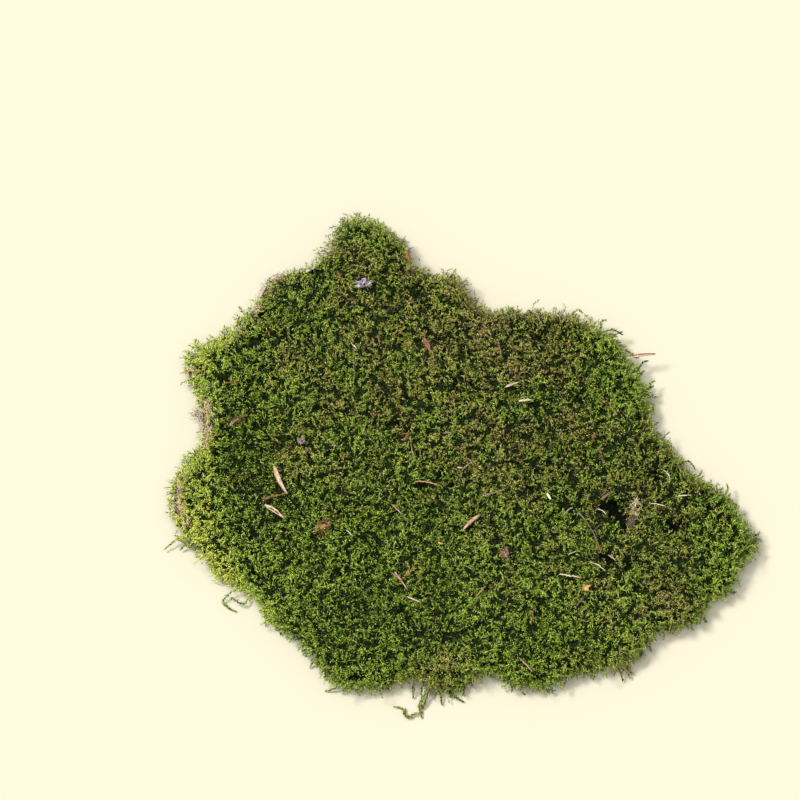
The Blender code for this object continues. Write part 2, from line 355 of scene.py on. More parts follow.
shootLook = {
    "kinds": 20,
    "height": 7.0,           # mm, base to tip
    "leaves": 12,
    "leafLength": 2.6,       # mm
    "leafWidth": 0.62,
    "spread": 1.15,          # radians that the lowest leaves stand off the stem
    "archedSpread": 0.8,
    "stemRadius": 0.25,
    "spacing": 2.17,         # mm between neighbours
    "size": (0.86, 1.12),
    "overTop": 0.9,          # mm that the tallest tips stand over the surface
    "tint": 0.54,            # 0 straw, 0.3 olive, 0.7 deep green, 1 lime
    "deepest": 0.74,         # the furthest that a patch goes towards deep green
    "light": 0.595,          # 0 shaded foot, 1 lit tip
    "deadShare": 0.03,
    "patches": (30, 12),     # mm across the broad and the small patches of tint
    "lightPatches": ((9, 0.16), (19, 0.20), (48, 0.20)),      # mm across, and how much
    "swirl": 26,             # mm across the areas whose shoots lean one way
    "creaseSize": 24,        # mm between creases
    "creaseDepth": 2.6,
    "pitDepth": 5.0,
    "rimTuftSize": 6,
    "rimReach": 11.0,        # mm that tufts stand out of the rim
    "rimLight": 0.13,
    "limeTint": 0.36,        # along the left edge
    "limeLight": 0.56,
    "pieces": 5,
    "seed": 11,
}


def addLeaf(bm, layers, place, length, width, arch, number):
    # a keeled leaf, pointed at both ends, along +X of its place
    leaf = bmesh.ops.create_cone(bm, cap_ends=True, segments=3, radius1=1.0, radius2=0.0,
                                 depth=2.0)["verts"]
    tip = max(leaf, key=lambda vert: vert.co.z)
    foot, left, right = (vert for vert in leaf if vert is not tip)
    foot.co = (-0.1 * length, 0, -arch)
    left.co = (0.5 * length, 0.5 * width, arch * 0.6)
    right.co = (0.42 * length, -0.5 * width, arch * 0.6)
    tip.co = (length, 0, -arch * 1.2)
    if arch > 0:
        left.co.z, right.co.z = left.co.z - width * 0.3, right.co.z - width * 0.3
        foot.co.z, tip.co.z = foot.co.z + width * 0.3, tip.co.z + width * 0.3
    left[layers["along"]], right[layers["along"]] = 0.85, 0.25      # painted light on one half of the fold, painted shade on the other
    tip[layers["along"]] = 1.0
    bmesh.ops.transform(bm, matrix=place, verts=leaf)
    for vert in leaf:
        vert[layers["leaf"]] = number


goldenAngle = math.radians(137.5)       # from one leaf to the next, round the stem


def growShoot(spine, leaves, look, rng, firstLeaf=0.3, spread=0.75, upright=True):
    # a leafy shoot along the spine: its points, faces, and three numbers for each point
    bm = bmesh.new()
    layers = {"along": bm.verts.layers.float.new("along"), "leaf": bm.verts.layers.int.new("leaf")}
    if len(spine) == 2:
        stem = bmesh.ops.create_cone(bm, cap_ends=True, segments=3, radius1=look["stemRadius"], radius2=0,
                                     depth=1.0)["verts"]
        for vert in stem:
            share = vert.co.z + 0.5
            vert.co = spine[0].lerp(spine[1], share) + Vector((vert.co.x, vert.co.y, 0))
            vert[layers["along"]] = 0.8 * share
    else:
        radii = [look["stemRadius"] * (1 - 0.75 * i / (len(spine) - 1)) for i in range(len(spine))]
        for i, ring in enumerate(sweepTube(bm, spine, radii, 3)):
            for vert in ring:
                vert[layers["along"]] = 0.8 * i / (len(spine) - 1)
    for number in range(leaves):
        share = firstLeaf + (1 - firstLeaf) * ((number + 0.5 * rng.random()) / leaves) ** 0.8
        where = share * (len(spine) - 1)
        i = min(int(where), len(spine) - 2)
        foot = spine[i].lerp(spine[i + 1], where - i)
        ahead = (spine[i + 1] - spine[i]).normalized()
        side = ahead.cross(upward if abs(ahead.z) < 0.9 else Vector((1, 0, 0))).normalized()
        around = goldenAngle * number + rng.gauss(0, 0.5)
        out = Matrix.Rotation(around, 3, ahead) @ side
        opening = spread * rng.uniform(0.7, 1.35) * (1.0 - 0.45 * share)
        heading = (ahead * math.cos(opening) + out * math.sin(opening)).normalized()
        across = heading.cross(upward if abs(heading.z) < 0.9 else Vector((0, 1, 0))).normalized()
        over = across.cross(heading)
        place = Matrix((
            (heading.x, -across.x, over.x, foot.x), (heading.y, -across.y, over.y, foot.y),
            (heading.z, -across.z, over.z, foot.z), (0, 0, 0, 1)))
        size = rng.uniform(0.8, 1.2) * (1.25 - 0.5 * share)
        addLeaf(bm, layers, place, look["leafLength"] * size,
                look["leafWidth"] * rng.uniform(0.8, 1.15) * (1.15 - 0.3 * share),
                look["leafLength"] * rng.uniform(0.04, 0.16), number + 1)
    bmesh.ops.recalc_face_normals(bm, faces=bm.faces[:])
    return kindOf(bm, layers, upright)


lyingRise = 0.85      # stands for the height up a shoot on what lies flat and has none


def kindOf(bm, layers=None, upright=False):
    # a small shape's points and faces, and what sets the light on each point
    bmesh.ops.triangulate(bm, faces=bm.faces[:])
    bm.verts.index_update()
    points = np.array([v.co[:] for v in bm.verts])
    kind = {"points": points, "faces": np.array([[v.index for v in f.verts] for f in bm.faces]),
            "along": 0.5 + 0.4 * points[:, 2].clip(-1, 1), "leaf": np.zeros(len(points), dtype=int),
            "rise": np.full(len(points), lyingRise), "top": points[:, 2].max()}
    if layers:
        kind["along"] = np.array([v[layers["along"]] for v in bm.verts])
        kind["leaf"] = np.array([v[layers["leaf"]] for v in bm.verts])
    if upright:
        kind["rise"] = (points[:, 2] / kind["top"]).clip(0, 1)
    bm.free()
    return kind


def shootKinds(look):
    # upright rosettes first, then longer shoots that arch over, each with its own leaves
    rng = random.Random(look["seed"])
    kinds = []
    for number in range(look["kinds"]):
        share = number / (look["kinds"] - 1)
        arched = share > 0.5
        lean = 0.10 + 0.95 * share
        height = look["height"] * (1.15 if arched else 1.0)
        bendSide = rng.uniform(-0.4, 0.4)
        steps = 2 if arched else 1
        spine = []
        for step in range(steps + 1):
            t = step / steps
            forward = lean * height * 0.75 * t ** 2.2
            spine.append(Vector((forward, bendSide * forward * t, height * (t - 0.42 * lean * t ** 3))))
        spread = look["archedSpread"] if arched else look["spread"]
        kinds.append(growShoot(spine, look["leaves"] - 2 * arched, look, rng, spread=spread))
    return kinds


# how much single leaves differ, and how the painted light and shade change along a leaf and up a shoot
varied = {"tintLeaf": 0.15, "lightLeaf": 0.50, "alongLight": 0.80, "riseLight": 0.45}


def repeatShoots(name, kinds, plants, material, slot, seed):
    # one mesh of all the plants, coloured by its map: tint, then light
    chance = np.random.default_rng(seed)
    allPoints, allFaces, allMaps = [], [], []
    start = 0
    for kindNumber, kind in enumerate(kinds):
        chosen = [p for p in plants if p["kind"] == kindNumber]
        if not chosen:
            continue
        turns = np.array([p["turn"] for p in chosen])
        sizes = np.array([p["size"] for p in chosen])[:, None, None]
        places = np.array([p["place"] for p in chosen])[:, None, :]
        points = np.einsum("kij,nj->kni", turns, kind["points"] * mm) * sizes + places
        points[..., 2] = points[..., 2].clip(0.2 * mm)      # what hangs lowest lies on the ground
        count, each = len(chosen), len(kind["points"])
        leafCount = kind["leaf"].max() + 1
        tintLeaf = chance.normal(0, varied["tintLeaf"], (count, leafCount))[:, kind["leaf"]]
        lightLeaf = chance.normal(0, varied["lightLeaf"], (count, leafCount))[:, kind["leaf"]]
        tint = np.array([p["tint"] for p in chosen])[:, None] + tintLeaf
        tint = tint + chance.uniform(-0.012, 0.012, (count, each))
        light = np.array([p["light"] for p in chosen])[:, None] + lightLeaf
        # painted shade at each leaf's foot and low down a shoot, painted light at its tip
        light = light + varied["alongLight"] * (kind["along"] - 0.5)
        light = light + varied["riseLight"] * (kind["rise"] - lyingRise)
        light = light + chance.uniform(-0.01, 0.01, (count, each))
        allMaps.append(np.stack([tint, light * 0.8], 2).reshape(-1, 2).clip(0.01, 0.99))
        offsets = start + each * np.arange(count)
        allFaces.append((kind["faces"][None] + offsets[:, None, None]).reshape(-1, 3))
        allPoints.append(points.reshape(-1, 3))
        start += count * each
    points, faces, maps = (np.concatenate(part) for part in (allPoints, allFaces, allMaps))
    mesh = bpy.data.meshes.new(name)
    mesh.vertices.add(len(points))
    mesh.vertices.foreach_set("co", points.astype(np.float32).ravel())
    mesh.loops.add(faces.size)
    mesh.loops.foreach_set("vertex_index", faces.astype(np.int32).ravel())
    mesh.polygons.add(len(faces))
    mesh.polygons.foreach_set("loop_start", np.arange(0, faces.size, 3, dtype=np.int32))
    mesh.update(calc_edges=True)
    mesh.uv_layers.new(name="OFBake")
    mesh.uv_layers["OFBake"].data.foreach_set("uv", maps[faces.ravel()].astype(np.float32).ravel())
    mesh.shade_smooth()
    mesh.validate()
    addPiece(name, mesh, material)
    print(name, len(plants), "laid,", len(faces), "triangles")


def evenPoints(bm, spacing, seed, wanted):
    # spots spread evenly over the surface, no two nearer than the spacing
    chance = np.random.default_rng(seed)
    corners = np.array([[v.co[:] for v in f.verts] for f in bm.faces])
    normals = np.array([f.normal[:] for f in bm.faces])
    smooth = np.array([[v.normal[:] for v in f.verts] for f in bm.faces])
    areas = np.array([f.calc_area() for f in bm.faces])
    areas = areas * np.array([wanted(c, n) for c, n in zip(corners.mean(1), normals)])
    tries = int(7 * areas.sum() / spacing ** 2)
    picked = chance.choice(len(areas), tries, p=areas / areas.sum())
    shares = chance.dirichlet((1, 1, 1), tries)
    spots = np.einsum("tc,tcx->tx", shares, corners[picked])
    facing = np.einsum("tc,tcx->tx", shares, smooth[picked])
    taken, kept = {}, []
    for i, spot in enumerate(spots):
        cell = tuple((spot // spacing).astype(int))
        near = (taken.get((cell[0] + a, cell[1] + b, cell[2] + c), ())
                for a in (-1, 0, 1) for b in (-1, 0, 1) for c in (-1, 0, 1))
        if all(((spots[j] - spot) ** 2).sum() > spacing ** 2 for group in near for j in group):
            taken.setdefault(cell, []).append(i)
            kept.append(i)
    return spots[kept], facing[kept]


def facingSpots(solid, spacing, seed, share):
    # pairs: a spot on the solid, and the way it faces
    spots, facing = evenPoints(solid, spacing * mm, seed, share)
    return [(Vector(spot), Vector(normal).normalized()) for spot, normal in zip(spots, facing)]


def turnFor(axis, heading):
    # rotation whose third axis is the shoot's own and whose first leans the way it bends
    axis = axis.normalized()
    first = (heading - axis * heading.dot(axis)).normalized()
    second = axis.cross(first)
    return [[first[r], second[r], axis[r]] for r in range(3)]


def plantAt(kind, place, size, axis, heading, tint, light):
    return {"kind": kind, "place": place[:], "size": size, "turn": turnFor(axis, heading), "tint": tint,
            "light": light}


tuftLook = {
    "spacing": 8.0,          # mm between tuft middles
    "drop": 0.8,             # mm that a tuft's rim lies under its middle
    "lean": 0.35,            # how far shoots lean out from the tuft's middle
}


def onTopOrRim(centre, normal):
    if normal[2] < -0.35:
        return 0.0
    return 0.6 if centre[2] < bedLevel and normal[2] < 0.1 else 1.0


def plantSheet(look, tufts, kinds):
    rng = random.Random(look["seed"])
    spots = facingSpots(mossSolid, look["spacing"], look["seed"], onTopOrRim)
    middles, _ = evenPoints(mossSolid, tufts["spacing"] * mm, look["seed"] + 1, onTopOrRim)
    tree = kdtree.KDTree(len(middles))
    for i, middle in enumerate(middles):
        tree.insert(middle, i)
    tree.balance()
    tuftTint = [rng.gauss(0, 0.08) for _ in middles]
    tuftLight = [rng.gauss(0, 0.05) for _ in middles]

    def patchNoise(spot, size, *shift):
        return noise.noise(spot / (size * mm) + Vector(shift))

    plants = []
    for spot, normal in spots:
        rim = 1 - smoothStep(0.25, 0.8, normal.z)
        hole = pitDepth(spot.x, spot.y) * (1 - rim)
        if hole > 0.4 or tanShare(spot.x, spot.y) * rim > 0.85:
            continue
        # it leans away from its tuft's middle and along with its neighbours
        middle, number, apart = tree.find(spot)
        reach = apart / (tufts["spacing"] * mm)
        away = spot - middle
        away = away.normalized() if away.length > 0 else Vector((1, 0, 0))
        broad, small = look["patches"]
        patch = patchNoise(spot, broad, 0, 0, 0) + 0.6 * patchNoise(spot, small, 9, 4, 2)
        swirl = 10 * patchNoise(spot, look["swirl"], 3, 7, 1) + rng.gauss(0, 0.8)
        heading = Vector((math.cos(swirl), math.sin(swirl), 0))
        axis = normal * (1 - 0.1 * rim) + away * tufts["lean"] * reach * 2 + heading * 0.15
        axis += scatter(rng, 0.2)
        if rim > 0.3:      # on the rim it hangs over and turns up at its tip
            heading = (heading * 0.5 - upward * 0.6 * rim + normal * 0.2).normalized()
            axis += upward * 0.35 * rim
        size = rng.uniform(*look["size"])
        kind = int(look["kinds"] * rng.random() ** 0.75)      # more of the arching ones
        depth = kinds[kind]["top"] * size - look["overTop"] + tufts["drop"] * min(reach, 1.0) ** 2 * 1.6
        # creases wander between the cushions, and tufts stand out of the rim
        crease = 1 - smoothStep(0.0, 0.07, abs(patchNoise(spot, look["creaseSize"], 5, 1, 8)))
        crease *= (1 - rim) * smoothStep(-0.1, 0.3, patchNoise(spot, 40, 0, 0, 0) + 0.15)
        tuft = max(0.0, patchNoise(spot, look["rimTuftSize"], 2, 6, 1))
        depth += 1.0 * max(0.0, -patch) + look["pitDepth"] * hole + look["creaseDepth"] * crease
        depth += abs(rng.gauss(0, 0.8))
        depth -= (rng.uniform(0, 1.6) + look["rimReach"] * tuft) * rim
        root = pullIn(spot - normal * depth * mm)
        if rim > 0.5:
            root.z = max(root.z, 1.2 * mm)
        tint = look["tint"] + zoneSum(tintZones, spot.x, spot.y) + 0.22 * patch
        tint = min(tint, look["deepest"]) + tuftTint[number] + rng.gauss(0, 0.07)
        light = look["light"] + zoneSum(lightZones, spot.x, spot.y) + tuftLight[number]
        # painted shade: darker towards a tuft's edge and in the creases
        light += rng.gauss(0, 0.07) - 0.05 * reach - 0.16 * crease
        for (across, amount), shift in zip(look["lightPatches"], ((0, 0, 0), (1, 2, 6), (8, 3, 4))):
            light += amount * patchNoise(spot, across, *shift)
        lime = leftRim(spot.x, spot.y)
        # painted light: the rim painted brighter, and the lime left edge brighter by its own amount
        light += look["rimLight"] * rim * (1 - lime) + look["limeLight"] * lime
        tint += look["limeTint"] * lime
        if rng.random() < look["deadShare"] - 0.25 * zoneSum(tintZones, spot.x, spot.y):
            tint, light = rng.uniform(0.0, 0.25), light + 0.02      # dead and straw-coloured
        plants.append(plantAt(kind, root, size, axis, heading, tint, light) | {"x": spot.x})
    return plants


ledgeLook = {"spacing": 2.6, "size": (1.0, 1.5), "upTo": -158, "lime": 0.32}      # mm, and x in mm


def plantLedge(look, tall):
    # longer shoots grow up from the soil's edge on the left and hide it, but for the torn spots
    rng = random.Random(look["seed"] + 9)
    soil = mergedCopy("soil_layer")
    spots, facing = evenPoints(soil, tall["spacing"] * mm, look["seed"],
                               lambda centre, normal: float(normal[2] > -0.3))
    soil.free()
    plants = []
    for spot, normal in zip(spots, facing):
        spot = Vector(spot)
        outward = Vector((normal[0], normal[1], 0))
        outward = outward.normalized() if outward.length > 0.1 else Vector((spot.x, spot.y, 0)).normalized()
        if underMoss(spot - outward * 1.5 * mm + upward * 0.5 * mm):
            continue
        if tanShare(spot.x, spot.y) > 0.5 or spot.x > tall["upTo"] * mm:
            continue
        lime = leftRim(spot.x, spot.y)
        tint = look["tint"] + zoneSum(tintZones, spot.x, spot.y) + tall["lime"] * lime
        light = look["light"] + tall["lime"] * lime
        axis = upward * 1.6 + outward * 0.35 + scatter(rng, 0.35)
        plants.append(plantAt(rng.randrange(look["kinds"]),
                              pullIn(spot - outward * 3.5 * mm + upward * rng.uniform(-1, 5) * mm),
                              rng.uniform(*tall["size"]), axis, outward, tint + rng.gauss(0, 0.08),
                              light + rng.gauss(0, 0.1)) | {"x": spot.x})
    return plants


def makeMossMaterial():
    # map: first number from dead straw to lime, second painted light, from a shoot's shaded foot to its lit
    # tip
    material, tree = startMaterial("living moss")
    place = ownMap(tree, "OFBake")
    tint, light, _ = split(tree, place)
    tips = colourRamp(tree, tint, (
        (0.0, (0.74, 0.50, 0.20)), (0.16, (0.62, 0.51, 0.12)), (0.32, (0.60, 0.62, 0.07)),
        (0.50, (0.60, 0.77, 0.035)), (0.72, (0.33, 0.71, 0.012)), (1.0, (0.88, 0.99, 0.05))))
    # painted shade: the near-black colours at the shoots' feet
    shadedFeet = colourRamp(tree, tint, (
        (0.0, (0.05, 0.022, 0.010)), (0.34, (0.020, 0.018, 0.004)), (0.50, (0.009, 0.021, 0.003)),
        (0.72, (0.003, 0.020, 0.003)), (1.0, (0.05, 0.09, 0.008))))
    lit = mapRange(tree, light, 0.16, 0.78, interpolation_type="SMOOTHSTEP")
    colour = mixColour(tree, lit, shadedFeet, tips)
    # pale tips, partly a painted glint on the brightest leaves
    pale = mixColour(tree, 0.43, colour, (0.97, 0.96, 0.50))
    colour = mixColour(tree, mapRange(tree, light, 0.74, 0.99), colour, pale)
    speckle = addMottle(tree, place, 9.0, 60.0, 0.85, 1.15)
    colour = mixColour(tree, 1.0, colour, speckle["Shade"], "MULTIPLY")
    rough = mapRange(tree, light, 0.0, 0.8, 0.85, 0.42)
    return finishMaterial(material, colour, rough, speckle["Height"], 0.25, 0.0002, specular=0.45)


mossMaterial = makeMossMaterial()
kinds = shootKinds(shootLook)
plants = plantSheet(shootLook, tuftLook, kinds) + plantLedge(shootLook, ledgeLook)
plants.sort(key=lambda plant: plant["x"])      # so that each piece holds one strip of the sheet
count = shootLook["pieces"]
for number in range(count):
    share = plants[len(plants) * number // count:len(plants) * (number + 1) // count]
    repeatShoots(f"mossShoots_{number + 1}", kinds, share, mossMaterial, "moss", 40 + number)


# ---------- loose strands hanging from the rim

strandLook = {"stemRadius": 0.30, "leafLength": 2.3, "leafWidth": 0.75, "leavesPerMm": 2.5, "seed": 77}
# each strand: tint, light, then its bends as x, y, z in mm from its root outwards
strands = (
    (0.80, 0.80, (-164, -95, 13), (-169, -93, 11), (-174, -94, 8), (-179, -98, 5), (-181, -101, 3.5),
     (-179, -104, 2.5), (-176, -106, 2), (-172, -108, 1.5)),
    (0.58, 0.80, (-195, -47, 13), (-202, -50, 11), (-210, -52, 9), (-217, -55, 7), (-225, -61, 4)),
    (0.66, 0.82, (-194, -54, 13), (-200, -57, 10), (-207, -58, 8), (-214, -55, 6)),
    (0.62, 0.78, (-194, -60, 12), (-202, -61, 9), (-210, -59, 6), (-213, -61, 4)),
    (0.50, 0.74, (-196, -51, 12), (-205, -53, 10), (-212, -53, 8), (-217, -51, 6)),
    (0.66, 0.60, (-146, -105, 10), (-149, -110, 6), (-149, -115, 4), (-149, -119, 2)),
    (0.75, 0.82, (-130, -116, 11), (-135, -120, 6), (-140, -121, 3)),
    (0.78, 0.80, (-110, -134, 12), (-117, -137, 7), (-122, -139, 3)),
    (0.70, 0.64, (-108, -145, 9), (-114, -148, 5), (-116, -151, 2)),
    (0.62, 0.66, (-90, -165, 9), (-98, -168, 5), (-104, -169, 2)),
    (0.40, 0.60, (-26, -159, 13), (-29, -167, 9), (-31, -174, 7), (-33, -179, 5), (-34, -184, 3),
     (-33, -189, 1.5)),
    (0.46, 0.68, (-30, -162, 12), (-33, -169, 8), (-33, -176, 5), (-35, -181, 3.5), (-33, -185, 2)),
    (0.38, 0.56, (-24, -164, 10), (-28, -171, 7), (-30, -177, 5), (-32, -182, 2.5)),
    (0.42, 0.58, (-33, -184, 3), (-38, -187, 3), (-43, -189, 3), (-46, -185, 3), (-48, -182, 2.5),
     (-53, -181, 2)),
    (0.44, 0.52, (-38, -187, 2.5), (-43, -189, 2.5), (-46, -187, 3.5), (-45, -183, 2)),
    (0.40, 0.62, (-18, -162, 11), (-13, -168, 7), (-9, -173, 4), (-6, -175, 3), (-2, -177, 2)),
    (0.46, 0.62, (-3, -156, 12), (-1, -162, 8), (-1, -167, 5), (-2, -172, 2)),
    (0.34, 0.48, (-38, -162, 10), (-39, -168, 6), (-39, -174, 2)),
    (0.32, 0.45, (-24, -165, 8), (-19, -172, 5), (-18, -179, 2)),
    (0.50, 0.56, (162, 3, 16), (167, 4, 15), (170, 2, 13), (172, -1, 11)),
    (0.52, 0.60, (172, -12, 15), (174, -8, 14), (177, -3, 13)),
    (0.62, 0.62, (190, -26, 15), (194, -22, 13), (196, -17, 12), (196, -13, 11)),
    (0.62, 0.66, (190, -27, 14), (195, -24, 12), (198, -20, 10)),
    (0.40, 0.50, (198, -34, 14), (201, -31, 13), (203, -29, 12)),
    (0.70, 0.62, (210, -56, 12), (215, -58, 8), (219, -61, 4)),
    (0.45, 0.50, (209, -59, 10), (214, -60, 7), (217, -63, 4)),
    (0.68, 0.78, (76, 112, 17), (80, 117, 17), (85, 122, 16), (88, 120, 15)),
    (0.60, 0.70, (77, 113, 17), (81, 115, 17), (84, 118, 16)),
    (0.42, 0.52, (88, 102, 17), (90, 107, 16), (91, 112, 15)),
    (0.46, 0.56, (92, 103, 16), (94, 108, 15), (96, 109, 14)),
    (0.52, 0.64, (99, 103, 16), (102, 109, 16), (103, 113, 15), (106, 114, 14)),
    (0.66, 0.70, (101, 102, 17), (106, 105, 17), (112, 106, 16), (118, 103, 14)),
    (0.62, 0.66, (103, 97, 16), (108, 99, 16), (114, 103, 15), (118, 105, 14)),
    (0.66, 0.64, (104, 99, 16), (109, 103, 16), (114, 101, 14)),
    (0.48, 0.52, (114, 81, 16), (120, 83, 15), (125, 86, 14), (130, 85, 13)),
    (0.50, 0.54, (119, 85, 15), (121, 90, 15), (125, 88, 14), (129, 85, 13)),
    (0.50, 0.52, (126, 72, 15), (130, 76, 14), (134, 82, 12), (137, 83, 11)),
    (0.50, 0.50, (127, 66, 15), (131, 71, 14), (134, 75, 12)),
    (0.60, 0.62, (132, 55, 15), (137, 60, 14), (139, 65, 13), (142, 67, 12)),
    (0.56, 0.60, (133, 57, 15), (138, 61, 14), (141, 63, 12)),
    (0.56, 0.60, (133, 46, 14), (137, 48, 14), (141, 47, 12), (141, 44, 10)),
    (0.52, 0.58, (137, 30, 13), (141, 33, 12), (144, 35, 11)),
    (0.52, 0.60, (171, -98, 13), (173, -104, 9), (175, -108, 6), (178, -113, 4), (179, -116, 2)),
    (0.56, 0.62, (173, -100, 12), (176, -106, 7), (178, -110, 5)),
    (0.46, 0.58, (161, -108, 13), (164, -113, 8), (167, -117, 5), (169, -122, 2)),
    (0.50, 0.62, (164, -106, 13), (167, -112, 8), (169, -117, 4)),
    (0.40, 0.60, (160, -111, 12), (163, -116, 7), (166, -121, 3)),
    (0.38, 0.62, (152, -111, 13), (154, -116, 8), (158, -121, 3)),
    (0.58, 0.84, (148, -113, 13), (151, -118, 8), (154, -125, 3)),
    (0.60, 0.80, (145, -115, 12), (148, -120, 7), (149, -125, 3)),
    (0.44, 0.52, (134, -133, 10), (137, -136, 5), (138, -138, 2)),
    (0.42, 0.62, (114, -151, 11), (119, -155, 7), (122, -159, 3)),
    (0.34, 0.60, (112, -151, 10), (115, -156, 6), (117, -161, 2)),
    (0.48, 0.62, (117, -150, 11), (121, -154, 6), (124, -156, 3)),
    (0.88, 0.88, (-198, 73, 17), (-203, 75, 16), (-208, 76, 14), (-210, 74, 12)),
    (0.70, 0.72, (-175, -99, 10), (-170, -102, 7), (-165, -103, 5), (-162, -99, 4)),
)


def bentSpine(bends, steps):
    # a smooth line through the bends
    points = [Vector(bend) for bend in bends]
    ends = [points[0] * 2 - points[1]] + points + [points[-1] * 2 - points[-2]]
    spine = []
    for i in range(steps + 1):
        where = i / steps * (len(points) - 1)
        k = min(int(where), len(points) - 2)
        t = where - k
        p0, p1, p2, p3 = ends[k:k + 4]
        spine.append(((p1 * 2) + (p2 - p0) * t + (p0 * 2 - p1 * 5 + p2 * 4 - p3) * t * t
                      + (p1 * 3 - p0 - p2 * 3 + p3) * t ** 3) * 0.5)
    return spine


def makeStrands(look):
    rng = random.Random(look["seed"])
    kinds, plants = [], []
    for tint, light, *bends in strands:
        length = sum((Vector(a) - Vector(b)).length for a, b in zip(bends, bends[1:]))
        spine = bentSpine(bends, max(5, round(length / 2.0)))
        leaves = round(length * look["leavesPerMm"])
        kinds.append(growShoot(spine, leaves, look, rng, firstLeaf=0.02,
                               spread=rng.uniform(0.55, 1.0), upright=False))
        plants.append(plantAt(len(plants), Vector(), 1.0, upward, Vector((1, 0, 0)), tint, light))
    return kinds, plants


sprigLook = {"kinds": 6, "leaves": 20, "spacing": 7, "most": 260, "size": (0.7, 1.15),
             "rootDepth": (8.5, 12.0), "tint": 0.56, "light": 0.74}      # mm


def makeRimSprigs(look, sprig):
    # short sprigs standing out all round the edge
    rng = random.Random(look["seed"] + 1)
    kinds = []
    for number in range(sprig["kinds"]):
        bend = rng.uniform(-1, 1)
        bends = [(0, 0, 0), (0.8 * bend, 0.4, 4), (2.2 * bend, 1.2, 8),
                 (3.2 * bend, 3.2, 11 + 2 * rng.random())]
        kinds.append(growShoot(bentSpine(bends, 4), sprig["leaves"], look, rng, firstLeaf=0.12))
    spots = facingSpots(mossSolid, sprig["spacing"], look["seed"],
                        lambda centre, normal: 1.0 if -0.3 < normal[2] < 0.45 else 0.0)
    plants = []
    for spot, normal in spots[:sprig["most"]]:
        if tanShare(spot.x, spot.y) > 0.3:
            continue
        axis = normal + upward * rng.uniform(-0.1, 0.5) + scatter(rng, 0.3)
        size = rng.uniform(*sprig["size"])
        root = pullIn(spot - normal * rng.uniform(*sprig["rootDepth"]) * mm)
        root.z = max(root.z, 2.5 * mm)
        lime = leftRim(spot.x, spot.y)
        tint = sprig["tint"] + zoneSum(tintZones, spot.x, spot.y) + 0.3 * lime
        plants.append(plantAt(rng.randrange(sprig["kinds"]), root, size, axis,
                              -upward + normal * 0.01, tint + rng.gauss(0, 0.08),
                              sprig["light"] + 0.15 * lime + rng.gauss(0, 0.08)))
    return kinds, plants


repeatShoots("looseStrands", *makeStrands(strandLook), mossMaterial, "moss", 61)
repeatShoots("rimSprigs", *makeRimSprigs(strandLook, sprigLook), mossMaterial, "moss", 62)


# ---------- the torn side: soil, dead fibres, roots and crumbs

fibreLook = {"kinds": 12, "length": 8.0, "stemRadius": 0.28, "spacing": 1.35, "size": (0.35, 0.9),
             "tangleSize": (0.45, 0.95), "seed": 5}      # mm


def makeFibreMaterial():
    # map: first number from dark root over pinkish brown to pale straw, second its light
    material, tree = startMaterial("dead fibres")
    place = ownMap(tree, "OFBake")
    tint, light, _ = split(tree, place)
    colour = colourRamp(tree, tint, (
        (0.0, (0.030, 0.020, 0.014)), (0.25, (0.11, 0.068, 0.045)), (0.5, (0.46, 0.31, 0.20)),
        (0.75, (0.82, 0.62, 0.36)), (1.0, (0.95, 0.80, 0.50))))
    shade = mapRange(tree, light, 0.0, 0.8, 0.25, 1.15)
    colour = mixColour(tree, 1.0, colour, shade, "MULTIPLY")
    rough = mapRange(tree, light, toLow=0.9, toHigh=0.6)
    grain = addNode(tree, "ShaderNodeTexNoise", {"Vector": place, "Scale": 80.0})
    return finishMaterial(material, colour, rough, grain.outputs["Fac"], 0.3, 0.0002)


def fibreKinds(look):
    rng = random.Random(look["seed"])
    kinds = []
    for number in range(look["kinds"]):
        turnSide, turnUp = rng.uniform(-0.5, 0.5), rng.uniform(-0.25, 0.25)
        heading, point, spine = Vector((0, 0, 1)), Vector((0, 0, 0)), []
        for step in range(5):
            spine.append(point.copy())
            point += heading * look["length"] / 4
            bendBy = Vector((turnSide + rng.gauss(0, 0.5), turnUp + rng.gauss(0, 0.35), 0))
            heading = (heading + bendBy * 0.8).normalized()
        kinds.append(growShoot(spine, 0, look, rng, upright=False))
    return kinds


crumbLook = {"kinds": 8, "spacing": 2.6, "size": (0.35, 1.1), "seed": 12}      # mm


def crumbKinds(look):
    rng = random.Random(look["seed"])
    kinds = []
    for number in range(look["kinds"]):
        bm = bmesh.new()
        bmesh.ops.create_icosphere(bm, subdivisions=1, radius=1.0)
        for vert in bm.verts:
            vert.co *= rng.uniform(0.65, 1.15)
            vert.co.z *= 0.75
        kinds.append(kindOf(bm))
    return kinds


def layFibres(look):
    # over the bare ledge of soil and the tan spots of the torn rim
    rng = random.Random(look["seed"] + 1)
    soil = mergedCopy("soil_layer")
    plants = []
    for solid, own in ((soil, True), (mossSolid, False)):
        spots = facingSpots(solid, look["spacing"], look["seed"],
                            lambda centre, normal: float(normal[2] > -0.5 and centre[0] < -0.08))
        for spot, normal in spots:
            tan = tanShare(spot.x, spot.y)
            if own and underMoss(spot + upward * 0.5 * mm):
                continue
            if tan < 0.35 and (not own or rng.random() < 0.35) or (not own and normal.z > 0.75):
                continue
            edge = upward.cross(normal)
            if edge.length < 0.2:
                edge = Vector((0.2, 1, 0))
            edge = edge.normalized() * rng.choice((-1, 1))
            axis = edge + scatter(rng, 0.6) + normal * 0.2
            size = rng.uniform(*look["size"])
            root = spot + normal * rng.uniform(-0.4, 1.4) * mm - axis.normalized() * 4 * size * mm
            root.z = max(root.z, 0.6 * mm)
            tint = rng.gauss(0.84, 0.17) if tan > 0.35 else rng.gauss(0.35, 0.15)
            # painted light: these fibres are painted brighter against the shade where they lie
            plants.append(plantAt(rng.randrange(look["kinds"]), root, size, axis, -normal + edge * 0.01,
                                  tint, rng.uniform(0.8, 1.25)))
    soil.free()
    return plants


